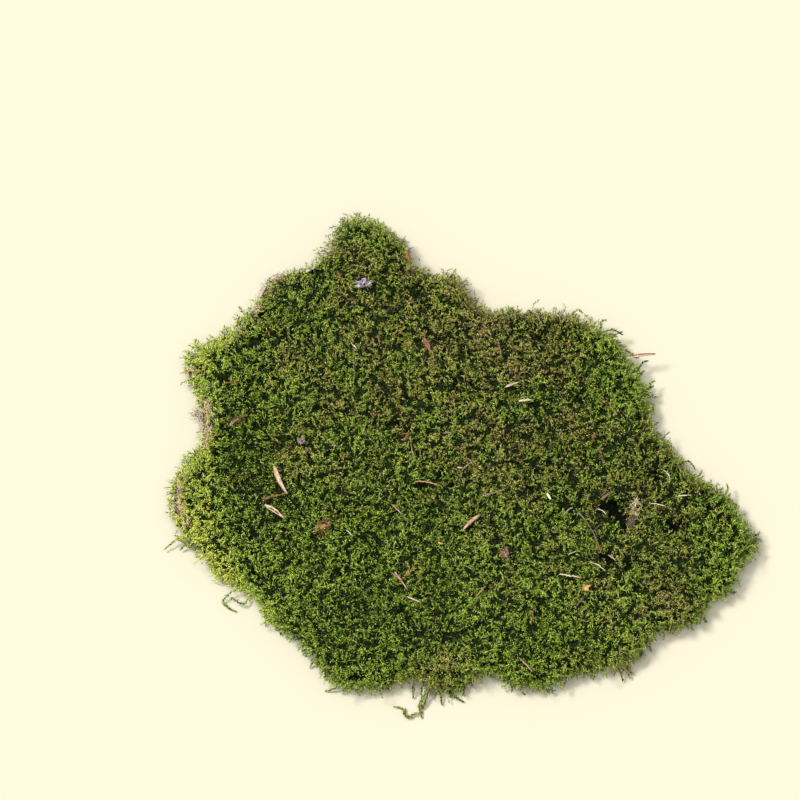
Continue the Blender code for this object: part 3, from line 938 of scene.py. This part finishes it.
# tangles of roots and dead stems: x, y, z, reach in mm, how many, tint
tangles = (
    (-201, 42, 10, 7, 46, 0.52), (-209, -20, 8, 5, 26, 0.60), (-204, -42, 8, 6, 26, 0.62),
    (-189, -68, 6, 5, 14, 0.22), (-181, -80, 4, 5, 12, 0.20), (-25, -168, 5, 7, 40, 0.42),
    (-14, -166, 5, 7, 24, 0.30), (2, -164, 5, 6, 16, 0.25), (215, -53, 7, 5, 22, 0.10),
    (211, -61, 5, 5, 20, 0.10), (76, 112, 8, 5, 12, 0.45), (163, 2, 10, 3, 8, 0.30),
    (192, -22, 8, 3, 6, 0.15), (-120, 147, 9, 5, 14, 0.55), (130, -142, 5, 5, 14, 0.25),
    (62, 114, 11, 5, 22, 0.74), (80, 107, 10, 5, 22, 0.70), (50, 117, 11, 4, 12, 0.60),
    (60, -163, 4, 4, 8, 0.20), (-60, -164, 4, 4, 8, 0.25), (127, -29, 21.5, 3, 50, 0.96),
    (125, -36, 20.5, 4, 64, 0.80), (122, -44, 18.5, 4, 40, 0.54), (150, -10, 8, 4, 10, 0.30),
)


def layTangles(look):
    rng = random.Random(look["seed"] + 2)
    plants = []
    for x, y, z, reach, count, tint in tangles:
        outward = Vector((x, y, 0)).normalized()
        for number in range(count):
            place = Vector((x, y, z)) + scatter(rng, 0.35 * reach)
            place.z = min(max(place.z, 1.0), z + 2)
            axis = outward * 0.5 + Vector([rng.gauss(0, 0.7), rng.gauss(0, 0.7), rng.gauss(0, 0.25)])
            plants.append(plantAt(rng.randrange(look["kinds"]), place * mm, rng.uniform(*look["tangleSize"]),
                                  axis, scatter(rng, 1), rng.gauss(tint, 0.12),
                                  rng.uniform(0.3, 0.8) + 0.5 * max(0.0, tint - 0.3)))
    return plants


def layCrumbs(look, crumb):
    rng = random.Random(look["seed"] + 3)
    soil = mergedCopy("soil_layer")
    spots, facing = evenPoints(soil, crumb["spacing"] * mm, look["seed"],
                               lambda centre, normal: float(normal[2] > -0.4 and centre[0] < -0.06))
    plants = []
    for spot, normal in zip(spots, facing):
        spot = Vector(spot)
        if underMoss(spot + upward * 0.5 * mm):
            continue
        inward = Vector((normal[0], normal[1], 0)) * 1.8 * mm
        plants.append(plantAt(rng.randrange(crumb["kinds"]), spot - inward, rng.uniform(*crumb["size"]),
                              scatter(rng, 1), Vector((1, 0.3, 0)), rng.uniform(0.1, 0.6),
                              rng.uniform(0.35, 0.8)))
    soil.free()
    return plants


fibreMaterial = makeFibreMaterial()
kinds = fibreKinds(fibreLook)
repeatShoots("tornFibres", kinds, layFibres(fibreLook), fibreMaterial, "soil", 71)
repeatShoots("rootTangles", kinds, layTangles(fibreLook), fibreMaterial, "soil", 71)
repeatShoots("soilCrumbs", crumbKinds(crumbLook), layCrumbs(fibreLook, crumbLook), fibreMaterial,
             "soil", 72)


def makeSoilMaterial():
    material, tree = startMaterial("peaty soil")
    patches = addMottle(tree, ownPlace(tree), 120.0, 1100.0, 0.0, 1.0)
    colour = colourRamp(tree, patches["Shade"], (
        (0.0, (0.012, 0.008, 0.005)), (0.4, (0.035, 0.022, 0.014)), (0.7, (0.10, 0.062, 0.038)),
        (1.0, (0.24, 0.16, 0.10))))
    rough = mapRange(tree, patches["Height"], toLow=0.8)
    return finishMaterial(material, colour, rough, patches["Height"], 0.8, 0.001, specular=0.15)


soilLook = {"inset": 2.2, "ragged": 1.3, "sunk": 0.5, "lumps": 0.7}      # mm


def makeSoil(look):
    bm = mergedCopy("soil_layer")
    bmesh.ops.subdivide_edges(bm, edges=bm.edges[:], cuts=1, use_grid_fill=True)
    bm.normal_update()
    moves = []
    for vert in bm.verts:
        outward = Vector((vert.normal.x, vert.normal.y, 0))
        rough = noise.noise(vert.co / (5 * mm)) + 0.7 * noise.noise(vert.co / (2.2 * mm))
        move = -outward * (look["inset"] + look["ragged"] * rough) * mm
        if vert.normal.z > 0.4:
            move -= upward * max(0.0, look["sunk"] + look["lumps"] * rough) * mm
        moves.append(move)
    for vert, move in zip(bm.verts, moves):
        vert.co += move
    bmesh.ops.triangulate(bm, faces=bm.faces[:])
    return addPiece("soilBed", meshFromBmesh("soilBed", bm), makeSoilMaterial(), ["soil_layer"])


soilBed = makeSoil(soilLook)
print("soil", len(soilBed.data.polygons), "triangles")


# ---------- the moss body between the shoots

bedLook = {
    "cuts": 1,
    "depth": 6.0,            # mm under the tips
    "rimDepth": 7.0,         # mm inside the edge
    "roughness": 1.3,
    "pitDepth": 9.0,
    "overSoil": 0.3,         # mm that it stays above the soil
    "wallFoot": 9.0,         # mm, up to here a wall stands straight
}


def makeBedMaterial():
    material, tree = startMaterial("moss bed")
    place = ownPlace(tree)
    patches = addMottle(tree, place, 700.0, 1300.0, 0.0, 1.0)
    # near-black colours: painted shade of the deep gaps, over the dark green of the moss body
    colour = colourRamp(tree, patches["Shade"], (
        (0.0, (0.001, 0.002, 0.001)), (0.44, (0.002, 0.005, 0.001)), (0.58, (0.007, 0.016, 0.003)),
        (0.74, (0.018, 0.040, 0.005)), (1.0, (0.06, 0.070, 0.016))))
    # painted shade: darker low down, between 12 and 18 mm
    deep = mapRange(tree, split(tree, place)["Z"], 0.012, 0.018, 0.12, 1.0)
    colour = mixColour(tree, 1.0, colour, deep, "MULTIPLY")
    return finishMaterial(material, colour, 0.9, patches["Height"], 0.7, 0.001, specular=0.1)


def makeBed(look):
    bm = mergedCopy("moss_mat")
    bmesh.ops.subdivide_edges(bm, edges=bm.edges[:], cuts=look["cuts"], use_grid_fill=True)
    bm.normal_update()
    places = []
    for vert in bm.verts:
        outward = Vector((vert.normal.x, vert.normal.y, 0))
        outward = outward.normalized() if outward.length > 0.05 else Vector((0, 0, 0))
        beside = Vector((vert.co.x, vert.co.y, 12 * mm)) + outward * 2 * mm
        covered = underMoss(beside)
        rough = noise.noise(vert.co / (4 * mm)) + 0.6 * noise.noise(vert.co / (1.8 * mm))
        flat = smoothStep(0.2, 0.8, vert.normal.z)
        depth = look["rimDepth"] + (look["depth"] - look["rimDepth"]) * flat + look["roughness"] * rough
        depth += look["pitDepth"] * pitDepth(vert.co.x, vert.co.y) * flat
        if vert.normal.z < -0.3 or vert.co.z < look["wallFoot"] * mm:
            move = Vector((0, 0, 0)) if covered else -outward * look["rimDepth"] * mm
        else:
            move = -vert.normal * depth * mm
        places.append(pullIn(vert.co + move))
    for vert, place in zip(bm.verts, places):
        vert.co = place
        if vert.normal.z > 0:
            vert.co.z = max(vert.co.z, bedLevel + look["overSoil"] * mm)
    bmesh.ops.triangulate(bm, faces=bm.faces[:])
    return addPiece("mossBed", meshFromBmesh("mossBed", bm), makeBedMaterial(), ["moss_mat"])


bed = makeBed(bedLook)
print("moss bed", len(bed.data.polygons), "triangles")


# ---------- what has fallen on the moss: needles, stalks, bud scales, a twig and scraps

# colours: at one side, in the middle, at the other side, of the fibres, and at each end; the sides and the
# middle are partly own colour and partly painted light and shade, lit and shaded flanks and a highlight down
# the middle
litterTones = {
    "rust": ((0.11, 0.028, 0.012), (0.44, 0.18, 0.065), (0.08, 0.018, 0.007), (0.20, 0.06, 0.022),
             (0.26, 0.09, 0.035), (0.40, 0.17, 0.065)),
    "pinkBrown": ((0.20, 0.10, 0.06), (0.68, 0.51, 0.36), (0.09, 0.03, 0.02), (0.32, 0.19, 0.12),
                  (0.32, 0.17, 0.10), (0.64, 0.50, 0.36)),
    "salmon": ((0.24, 0.09, 0.06), (0.82, 0.58, 0.44), (0.15, 0.04, 0.025), (0.42, 0.20, 0.12),
               (0.80, 0.62, 0.50), (0.30, 0.12, 0.07)),
    "greyBrown": ((0.13, 0.085, 0.055), (0.48, 0.37, 0.24), (0.07, 0.04, 0.025), (0.20, 0.14, 0.09),
                  (0.42, 0.31, 0.20), (0.24, 0.16, 0.10)),
    "orangeTan": ((0.30, 0.14, 0.05), (0.68, 0.44, 0.20), (0.16, 0.05, 0.02), (0.36, 0.18, 0.07),
                  (0.72, 0.50, 0.26), (0.24, 0.15, 0.11)),
    "cream": ((0.42, 0.31, 0.20), (0.80, 0.69, 0.49), (0.24, 0.14, 0.09), (0.50, 0.38, 0.25),
              (0.82, 0.73, 0.56), (0.46, 0.30, 0.21)),
    "darkBrown": ((0.06, 0.028, 0.018), (0.18, 0.10, 0.065), (0.04, 0.018, 0.012), (0.08, 0.038, 0.026),
                  (0.10, 0.05, 0.035), (0.34, 0.24, 0.18)),
    "paleStalk": ((0.60, 0.58, 0.40), (0.86, 0.85, 0.70), (0.30, 0.28, 0.14), (0.60, 0.57, 0.38),
                  (0.56, 0.55, 0.30), (0.86, 0.84, 0.72)),
    "amberScale": ((0.92, 0.86, 0.76), (0.80, 0.62, 0.44), (0.22, 0.07, 0.025), (0.50, 0.27, 0.12),
                   (0.74, 0.42, 0.12), (0.62, 0.46, 0.38)),
    "splitScale": ((0.84, 0.77, 0.62), (0.62, 0.34, 0.15), (0.90, 0.84, 0.70), (0.46, 0.22, 0.09),
                   (0.88, 0.84, 0.72), (0.60, 0.36, 0.20)),
    "redScale": ((0.40, 0.20, 0.13), (0.30, 0.10, 0.05), (0.34, 0.13, 0.08), (0.14, 0.035, 0.018),
                 (0.24, 0.08, 0.04), (0.60, 0.36, 0.26)),
    "barkScale": ((0.26, 0.19, 0.14), (0.20, 0.12, 0.08), (0.05, 0.03, 0.02), (0.12, 0.07, 0.045),
                  (0.46, 0.17, 0.055), (0.34, 0.27, 0.22)),
    "creamScale": ((0.38, 0.32, 0.21), (0.60, 0.52, 0.37), (0.24, 0.15, 0.10), (0.36, 0.27, 0.18),
                   (0.66, 0.60, 0.46), (0.40, 0.24, 0.17)),
    "twigBark": ((0.09, 0.06, 0.045), (0.27, 0.20, 0.15), (0.03, 0.02, 0.015), (0.06, 0.04, 0.03),
                 (0.34, 0.27, 0.21), (0.42, 0.20, 0.08)),
    "leafScrap": ((0.40, 0.21, 0.16), (0.50, 0.31, 0.25), (0.30, 0.12, 0.09), (0.16, 0.06, 0.045),
                  (0.52, 0.36, 0.30), (0.36, 0.18, 0.13)),
    "lilacScrap": ((0.18, 0.12, 0.10), (0.26, 0.18, 0.17), (0.12, 0.08, 0.07), (0.36, 0.28, 0.24),
                   (0.20, 0.13, 0.10), (0.18, 0.12, 0.11)),
    "lichen": ((0.10, 0.06, 0.11), (0.17, 0.11, 0.19), (0.20, 0.14, 0.22), (0.56, 0.50, 0.60),
               (0.34, 0.28, 0.33), (0.12, 0.08, 0.13)),
    "yellowLeaf": ((0.52, 0.34, 0.08), (0.76, 0.52, 0.13), (0.58, 0.42, 0.15), (0.30, 0.15, 0.04),
                   (0.76, 0.66, 0.38), (0.66, 0.40, 0.07)),
    "goldCrumb": ((0.28, 0.13, 0.035), (0.74, 0.48, 0.15), (0.18, 0.07, 0.02), (0.14, 0.055, 0.018),
                  (0.64, 0.44, 0.18), (0.40, 0.19, 0.05)),
}


def makeLitterMaterial(name, tone):
    # read from the piece's own map, "lay": first number along it, second across it
    low, middle, high, fibre, start, end = tone
    material, tree = startMaterial(name)
    lay = ownMap(tree, "lay")
    along, across, _ = split(tree, lay)
    place = ownPlace(tree)
    # painted light across the piece: sides darker as painted shade, the middle lighter as a painted
    # highlight, mixed with its own colours
    colour = colourRamp(tree, across, ((0.14, low), (0.40, middle), (0.60, middle), (0.88, high)))
    colour = mixColour(tree, mapRange(tree, along, 0.28, 0.0, toHigh=0.85), colour, start)
    colour = mixColour(tree, mapRange(tree, along, 0.72, 1.0, toHigh=0.85), colour, end)
    fibres = addNode(tree, "ShaderNodeGroup", {"Place": lay, "Along": 3.0, "Across": 11.0},
                     node_tree=streaks).outputs
    worn = addMottle(tree, place, 380.0, 2200.0, 0.30, 1.45)
    colour = mixColour(tree, multiplied(tree, fibres["Mask"], 0.9), colour, fibre)
    colour = mixColour(tree, 1.0, colour, worn["Shade"], "MULTIPLY")
    rough = mapRange(tree, fibres["Mask"], toLow=0.48, toHigh=0.78)
    return finishMaterial(material, colour, rough, fibres["Height"], 0.6, 0.0003)


litterMaterials = {name: makeLitterMaterial(name, tone) for name, tone in litterTones.items()}


def nodePoints(node):
    bm = mergedCopy(node)
    points = np.array([vert.co[:] for vert in bm.verts])
    bm.free()
    return points


def longAxis(points):
    # the way a piece lies, taken from left to right or from top to bottom
    centred = points - points.mean(0)
    axis = np.linalg.eigh(centred.T @ centred)[1][:, 2]
    return axis if axis[0] > axis[1] else -axis


def spineOf(node, ringSize, steps):
    # a long CAD piece's middle line, and its half width at each step of it
    points = nodePoints(node)
    order = np.argsort(points @ longAxis(points))
    rings = points[order].reshape(-1, ringSize, 3)
    middles = rings.mean(1)
    halves = np.linalg.norm(rings - middles[:, None], axis=2).max(1)
    shares = np.linspace(0, 1, len(halves))
    return bentSpine(middles.tolist(), steps), np.interp(np.linspace(0, 1, steps + 1), shares, halves)


def startLaid():
    bm = bmesh.new()
    return bm, (bm.verts.layers.float.new("along"), bm.verts.layers.float.new("across"))


def startSheet(columns, rows, torn):
    # a flat grid from -1 to 1, without the faces that are torn away
    bm, lay = startLaid()
    bmesh.ops.create_grid(bm, x_segments=columns, y_segments=rows, size=1.0)
    gone = [face for face in bm.faces if torn(face.calc_center_median())]
    bmesh.ops.delete(bm, geom=gone, context="FACES")
    return bm, lay


def addLaid(name, bm, lay, material, node):
    # the two numbers kept on each point become the map "lay"
    bmesh.ops.recalc_face_normals(bm, faces=bm.faces[:])
    bmesh.ops.triangulate(bm, faces=bm.faces[:])
    layMap = bm.loops.layers.uv.new("lay")
    for face in bm.faces:
        for loop in face.loops:
            loop[layMap].uv = (loop.vert[lay[0]], loop.vert[lay[1]])
    return addPiece(name, meshFromBmesh(name, bm), material, [node])


needleLook = {
    "steps": 14,
    "sides": 8,
    "flatness": 0.6,
    "groove": 0.35,          # share of its half width
    "waver": 0.18,           # mm
    "sink": 0.5,             # mm into the tips
    "needleWidth": 0.72,     # share of its solid's width
    "stalkWidth": 0.62,
}


def layTube(bm, lay, line, radii, look, bark=0.0):
    # a stem along the line, numbered along and across it
    rings = sweepTube(bm, line, radii, look["sides"], look["flatness"])
    for i, ring in enumerate(rings):
        place = spineFrame(line, i, 1.0, 1.0).inverted()
        for vert in ring:
            offset = place @ vert.co
            vert[lay[0]] = i / (len(rings) - 1)
            vert[lay[1]] = min(max(0.5 + 0.5 * offset.x / radii[i], 0.0), 1.0)
            if offset.y > 0 and abs(offset.x) < 0.5 * radii[i]:
                vert.co -= upward * look["groove"] * radii[i]
            if bark:
                vert.co += (vert.co - line[i]) * bark * noise.noise(vert.co / (1.1 * mm))


def makeNeedle(node, name, tone, slot, seed, partner=0.0):
    look = needleLook
    rng = random.Random(seed)
    line, halves = spineOf(node, 5, look["steps"])
    side = (line[-1] - line[0]).cross(upward).normalized()
    line = [p - upward * look["sink"] * mm + side * rng.gauss(0, look["waver"]) * mm for p in line]
    ends = [0.55] + [1.0] * (look["steps"] - 2) + [0.8, 0.35]
    narrow = look["stalkWidth"] if slot == "stalk" else look["needleWidth"]
    radii = [half * end * narrow * rng.uniform(0.85, 1.08) for half, end in zip(halves, ends)]
    bm, lay = startLaid()
    layTube(bm, lay, line, radii, look)
    if partner:      # a second needle from the same foot, spread away from the first
        count = look["steps"] // 2
        fork = [p + side * partner * mm * (1 - i / count) + upward * 0.3 * mm
                for i, p in enumerate(line[:count + 1])]
        layTube(bm, lay, fork, [0.7 * r for r in radii[:count + 1]], look)
    return addLaid(name, bm, lay, litterMaterials[tone], node)


needleTones = ("rust", "rust", "rust", "greyBrown", "orangeTan", "greyBrown", "pinkBrown", "pinkBrown",
               "cream", "cream", "darkBrown", "greyBrown", "salmon", "cream", "orangeTan", "cream",
               "rust", "pinkBrown", "darkBrown", "greyBrown", "rust")
stalkCount = 6
needlePartners = {13: 2.0, 6: -1.2, 2: 1.4, 21: -1.6}      # mm
for number, tone in enumerate(needleTones, 1):
    makeNeedle(f"needle_{number:02d}", f"dryNeedle_{number:02d}", tone, "needle", 200 + number,
               needlePartners.get(number, 0.0))
for number in range(1, stalkCount + 1):
    makeNeedle(f"stalk_{number:02d}", f"paleStalk_{number:02d}", "paleStalk", "stalk", 300 + number)
print(len(needleTones), "needles and", stalkCount, "stalks")


scaleLook = {
    "columns": 22,
    "rows": 8,
    "thickness": 0.16,       # mm
    "wrinkle": 0.28,         # mm
    "sink": 0.9,             # mm into the tips
    "roll": 1.0,             # radians from its middle line to its edge, less than nought is domed
    "fullness": 1.0,         # below 1 its ends are blunter
    "ragged": 0.12,          # how far its edges wander, as a share of its half width
    "slit": 0.0,             # share of its width that has torn open along the middle
    "width": 0.8,            # share of its solid's width
    "broadEnd": "first",     # which end of its line is the broader
}
scaleForms = {
    1: {"tone": "salmon", "roll": 2.5, "fullness": 0.35, "width": 0.6},
    2: {"tone": "amberScale", "roll": -0.9, "fullness": 0.8, "width": 0.85},
    3: {"tone": "splitScale", "roll": 0.8, "slit": 0.22, "ragged": 0.2},
    4: {"tone": "redScale", "roll": 0.5, "ragged": 0.35, "wrinkle": 0.5},
    5: {"tone": "creamScale", "roll": 1.3},
    6: {"tone": "cream", "roll": -0.8, "width": 0.72},
    7: {"tone": "salmon", "roll": -0.9, "fullness": 0.8, "broadEnd": "last"},
    8: {"tone": "pinkBrown", "roll": 1.6, "ragged": 0.25, "width": 0.5},
    9: {"tone": "goldCrumb", "roll": 0.6, "ragged": 0.5, "wrinkle": 0.8, "slit": 0.15},
    10: {"tone": "salmon", "roll": 1.9, "fullness": 0.5, "sink": 0.0},
    11: {"tone": "darkBrown", "roll": 0.9, "ragged": 0.35, "wrinkle": 0.5, "width": 0.6},
    12: {"tone": "barkScale", "roll": 1.2, "ragged": 0.35, "sink": 0.6, "width": 0.7},
}


def makeScale(number, form):
    look = {**scaleLook, **form}
    node = f"bud_scale_{number:02d}"
    steps = look["columns"]
    line, halves = spineOf(node, 7, steps)
    if look["broadEnd"] == "last":
        halves = halves[::-1]
    widest = max(halves)
    own = Vector((number * 3.7, 1.3, 0.4))
    bm, lay = startSheet(steps, look["rows"],
                         lambda spot: abs(spot.y) < look["slit"] and -0.55 < spot.x < 0.5)
    for vert in bm.verts:
        along, across = 0.5 + 0.5 * vert.co.x, vert.co.y
        vert[lay[0]], vert[lay[1]] = along, 0.5 + 0.5 * across
        i = min(max(round(along * steps), 0), steps)
        half = look["width"] * widest * (halves[i] / widest) ** look["fullness"]
        half *= 1 + look["ragged"] * noise.noise(Vector((along * 9, 2.0 * (across > 0), 0)) + own)
        turn = across * abs(look["roll"])
        curl = half / math.sin(min(abs(look["roll"]), math.pi / 2))
        lift = (1 - math.cos(turn)) * curl * math.copysign(1, look["roll"])
        lift += 0.35 * half if look["roll"] < 0 else 0.0
        crease = noise.noise(Vector((along * 6, across * 2.2, 0)) + own) + 0.25 * math.cos(across * 13)
        fray = 0.9 * mm * noise.noise(Vector((across * 4, 5.0, 0)) + own) * abs(2 * along - 1) ** 4
        vert.co = spineFrame(line, i, 1.0, 1.0) @ Vector((
            math.sin(turn) * curl, lift + (look["wrinkle"] * crease - look["sink"]) * mm, fray))
    bmesh.ops.solidify(bm, geom=bm.faces[:], thickness=look["thickness"] * mm)
    return addLaid(f"budScale_{number:02d}", bm, lay, litterMaterials[look["tone"]], node)


for number, form in scaleForms.items():
    makeScale(number, form)
print(len(scaleForms), "bud scales")


scrapLook = {"cells": 22, "thickness": 0.22, "ragged": 0.35, "crumple": 0.7, "curl": 0.6, "sink": 0.9,
             "size": 0.85, "holes": 0.1, "holeScale": 3.0}
scrapForms = {
    "tan_scrap": {"tone": "goldCrumb", "crumple": 2.6, "ragged": 0.6, "slot": "tan_scrap", "holes": 0.46,
                  "holeScale": 7.0, "sink": 1.0, "size": 0.8},
    "lilac_scrap": {"tone": "lilacScrap", "crumple": 1.2, "ragged": 0.5, "slot": "dry_leaf", "size": 0.7,
                    "holes": 0.25, "sink": 2.0},
    "lichen_flake": {"tone": "lichen", "crumple": 1.4, "ragged": 0.7, "slot": "lichen", "sink": 0.5,
                     "holes": 0.3, "size": 0.95},
    "leaf_scrap": {"tone": "leafScrap", "crumple": 1.3, "ragged": 0.5, "slot": "dry_leaf", "holes": 0.22,
                   "size": 0.66},
    "yellow_leaf_scrap": {"tone": "yellowLeaf", "crumple": 0.6, "ragged": 0.8, "slot": "yellow_leaf",
                          "size": 0.46, "holes": 0.22, "holeScale": 5.0},
}


def makeScrap(node, number, form):
    # a crumpled flake with a torn outline, in the place of its CAD solid
    look = {**scrapLook, **form}
    points = nodePoints(node)
    middle = (points.max(0) + points.min(0)) / 2
    axis = longAxis(points) * (1, 1, 0)
    axis = axis / np.linalg.norm(axis)
    cross = np.array((axis[1], -axis[0], 0))
    reach = abs((points - middle) @ axis).max()
    width = abs((points - middle) @ cross).max()
    own = Vector((number * 5.1, 2.6, 0.2))
    bm, lay = startSheet(look["cells"], look["cells"], lambda spot: 0.5 + 0.8 * noise.noise(
        spot * look["holeScale"] + own) < look["holes"])
    for vert in bm.verts:
        x, y = vert.co.x, vert.co.y
        vert[lay[0]], vert[lay[1]] = 0.5 + 0.5 * x, 0.5 + 0.5 * y
        out, angle = max(abs(x), abs(y)), math.atan2(y, x)
        around = Vector((math.cos(angle), math.sin(angle), 0))
        edge = 1 + look["ragged"] * (noise.noise(around * 1.7 + own) + 0.6 * noise.noise(around * 5 + own))
        rise = noise.noise(Vector((x * 2.1, y * 2.1, 0)) + own)
        rise += 0.6 * noise.noise(Vector((x, y, 0)) * 6 + own)
        height = look["crumple"] * rise + look["curl"] * out ** 2 - look["sink"]
        spread = out * edge * look["size"]
        vert.co = Vector(middle + axis * reach * spread * around.x + cross * width * spread * around.y)
        vert.co += upward * height * mm
    bmesh.ops.solidify(bm, geom=bm.faces[:], thickness=look["thickness"] * mm)
    return addLaid(node + "_torn", bm, lay, litterMaterials[look["tone"]], node)


for number, (node, form) in enumerate(scrapForms.items()):
    makeScrap(node, number, form)
print(len(scrapForms), "scraps")


# bends of the stem and its side branch, as shares of the twig's box: along X, along Y, up
twigLook = {
    "stem": ((0.02, 0.99, 0.5), (0.36, 0.75, 0.6), (0.64, 0.50, 0.5), (0.81, 0.28, 0.5), (0.97, 0.02, 0.4)),
    "branch": ((0.62, 0.52, 0.5), (0.81, 0.62, 0.7), (0.97, 0.71, 0.6)),
    "stemHalf": (0.70, 0.52),      # mm, thick end and thin end
    "branchHalf": (0.50, 0.28),
    "sides": 9,
    "flatness": 0.95,
    "groove": 0.0,
    "bark": 0.35,
    "sink": 0.4,
}


def makeTwig(look):
    low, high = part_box("forked_twig")
    bm, lay = startLaid()
    for bends, (thick, thin), steps in ((look["stem"], look["stemHalf"], 34),
                                        (look["branch"], look["branchHalf"], 14)):
        spots = [[low[k] + (high[k] - low[k]) * bend[k] for k in range(3)] for bend in bends]
        line = [p - upward * look["sink"] * mm for p in bentSpine(spots, steps)]
        # a small knot at every eleventh ring
        radii = [(thick + (thin - thick) * i / steps) * mm * (1.25 if i % 11 == 5 else 1.0)
                 for i in range(steps + 1)]
        layTube(bm, lay, line, radii, look, look["bark"])
    return addLaid("forkedTwigBark", bm, lay, litterMaterials["twigBark"], "forked_twig")


makeTwig(twigLook)


# ---------- crumbs of bark, scale and leaf caught between the tips

debrisLook = {"kinds": 8, "spacing": 14.0, "size": (0.35, 0.95), "sink": (0.2, 1.6), "seed": 91}      # mm
# bits that stand out: x, y in mm, size, tint
brightBits = ((-38, 164, 2.6, 0.34), (-40, 160, 1.6, 0.30), (-95, 147, 2.0, 0.22), (-86, 127, 1.8, 0.18),
              (-58, 118, 1.6, 0.03), (-19, -62, 1.5, 0.92), (-44, 20, 1.8, 0.40), (20, 30, 1.6, 0.10),
              (96, 20, 1.8, 0.15), (62, -26, 1.4, 0.95), (-4, -4, 1.4, 0.62))


def makeDebrisMaterial():
    # map: first number from dark bark over rust and tan to cream, second its light
    material, tree = startMaterial("crumbs of litter")
    place = ownMap(tree, "OFBake")
    tint, light, _ = split(tree, place)
    colour = colourRamp(tree, tint, (
        (0.0, (0.04, 0.014, 0.010)), (0.25, (0.15, 0.050, 0.022)), (0.5, (0.42, 0.19, 0.07)),
        (0.75, (0.66, 0.44, 0.26)), (1.0, (0.86, 0.80, 0.66))))
    grain = addMottle(tree, place, 12.0, 70.0, 0.7, 1.2)
    colour = mixColour(tree, 1.0, colour, grain["Shade"], "MULTIPLY")
    rough = mapRange(tree, light, toLow=0.85, toHigh=0.55)
    return finishMaterial(material, colour, rough, grain["Height"], 0.4, 0.0002)


def chipKinds(look):
    # small bent flakes of five or six corners
    rng = random.Random(look["seed"])
    kinds = []
    for number in range(look["kinds"]):
        bm = bmesh.new()
        bmesh.ops.create_circle(bm, cap_ends=True, segments=5 + number % 2, radius=1.0)
        long = rng.uniform(1.2, 2.6)
        for vert in bm.verts:
            vert.co = Vector((vert.co.x * long, vert.co.y * rng.uniform(0.4, 0.8),
                              0.25 * vert.co.x ** 2 + rng.uniform(-0.1, 0.1)))
        bmesh.ops.solidify(bm, geom=bm.faces[:], thickness=0.15)
        bmesh.ops.recalc_face_normals(bm, faces=bm.faces[:])
        kinds.append(kindOf(bm))
    return kinds


def scatterDebris(look, kinds):
    rng = random.Random(look["seed"] + 1)
    spots = facingSpots(mossSolid, look["spacing"], look["seed"],
                        lambda centre, normal: float(normal[2] > 0.6))
    plants = []
    for spot, normal in spots:
        axis = normal + scatter(rng, 0.35)
        plants.append(plantAt(rng.randrange(len(kinds)),
                              pullIn(spot) - upward * rng.uniform(*look["sink"]) * mm,
                              rng.uniform(*look["size"]) ** 1.4, axis,
                              Vector((rng.gauss(0, 1), rng.gauss(0, 1), 0)),
                              min(rng.expovariate(5.0), 0.95), rng.uniform(0.5, 0.9)))
    for x, y, size, tint in brightBits:
        top = mossTree.find_nearest(Vector((x, y, 29)) * mm)[0]
        plants.append(plantAt(rng.randrange(len(kinds)), top - upward * 0.2 * mm, size,
                              upward + Vector((rng.gauss(0, 0.2), 0.1, 0)),
                              Vector((rng.gauss(0, 1), rng.gauss(0, 1), 0)), tint, 0.8))
    return plants


chips = chipKinds(debrisLook)
repeatShoots("barkCrumbs", chips, scatterDebris(debrisLook, chips), makeDebrisMaterial(), "bud_scale", 81)


# ---------- stage, lights and camera

stageLook = {
    "floorColour": (0.615, 0.585, 0.47),
    "worldColour": (1.0, 0.975, 0.90),
    "worldStrength": 0.45,
    "floorReach": 8.0,
    "floorGap": 0.0002,      # metres under the sheet
    # each light: place, strength, softness in degrees, colour
    "key": ((-0.75, 0.30, 1.25), 3.4, 14, (1.0, 0.97, 0.92)),
    "fill": ((0.1, -0.3, 2.2), 1.1, 50, (0.97, 0.98, 1.0)),
    "elevation": 75.0,       # degrees above the horizon
    "distance": 5.0,
    "width": 0.600,          # metres across the frame at the sheet
    "aim": (-0.049, 0.0508, 0.018),
}


def makeStage(look):
    bm = bmesh.new()
    bmesh.ops.create_grid(bm, x_segments=2, y_segments=2, size=look["floorReach"])
    floor = bpy.data.objects.new("floor", meshFromBmesh("floor", bm, smooth=False))
    bpy.context.scene.collection.objects.link(floor)
    floor.location.z = -look["floorGap"]
    material, tree = startMaterial("pale paper")
    setInputs(tree, tree.nodes["Principled BSDF"],
              {"Base Color": (*look["floorColour"], 1.0), "Roughness": 0.95, "Specular IOR Level": 0.1})
    floor.data.materials.append(material)
    world = bpy.data.worlds.new("studio")
    bpy.context.scene.world = world
    world.use_nodes = True
    setInputs(world.node_tree, world.node_tree.nodes["Background"],
              {"Color": (*look["worldColour"], 1.0), "Strength": look["worldStrength"]})
    bpy.context.scene.view_settings.view_transform = "Standard"


def addSun(name, place, strength, softness, colour):
    data = bpy.data.lights.new(name, "SUN")
    data.energy, data.angle, data.color = strength, math.radians(softness), colour
    light = bpy.data.objects.new(name, data)
    bpy.context.scene.collection.objects.link(light)
    light.location = place
    light.rotation_euler = (-Vector(place)).to_track_quat("-Z", "Y").to_euler()


def placeCamera(look):
    data = bpy.data.cameras.new("camera")
    camera = bpy.data.objects.new("camera", data)
    bpy.context.scene.collection.objects.link(camera)
    data.lens = data.sensor_width * look["distance"] / look["width"]
    tilt = math.radians(look["elevation"])
    aim = Vector(look["aim"])
    camera.location = aim + Vector((0, -math.cos(tilt), math.sin(tilt))) * look["distance"]
    camera.rotation_euler = (aim - camera.location).to_track_quat("-Z", "Y").to_euler()
    bpy.context.scene.camera = camera


makeStage(stageLook)
for name in ("key", "fill"):
    addSun(name, *stageLook[name])
placeCamera(stageLook)
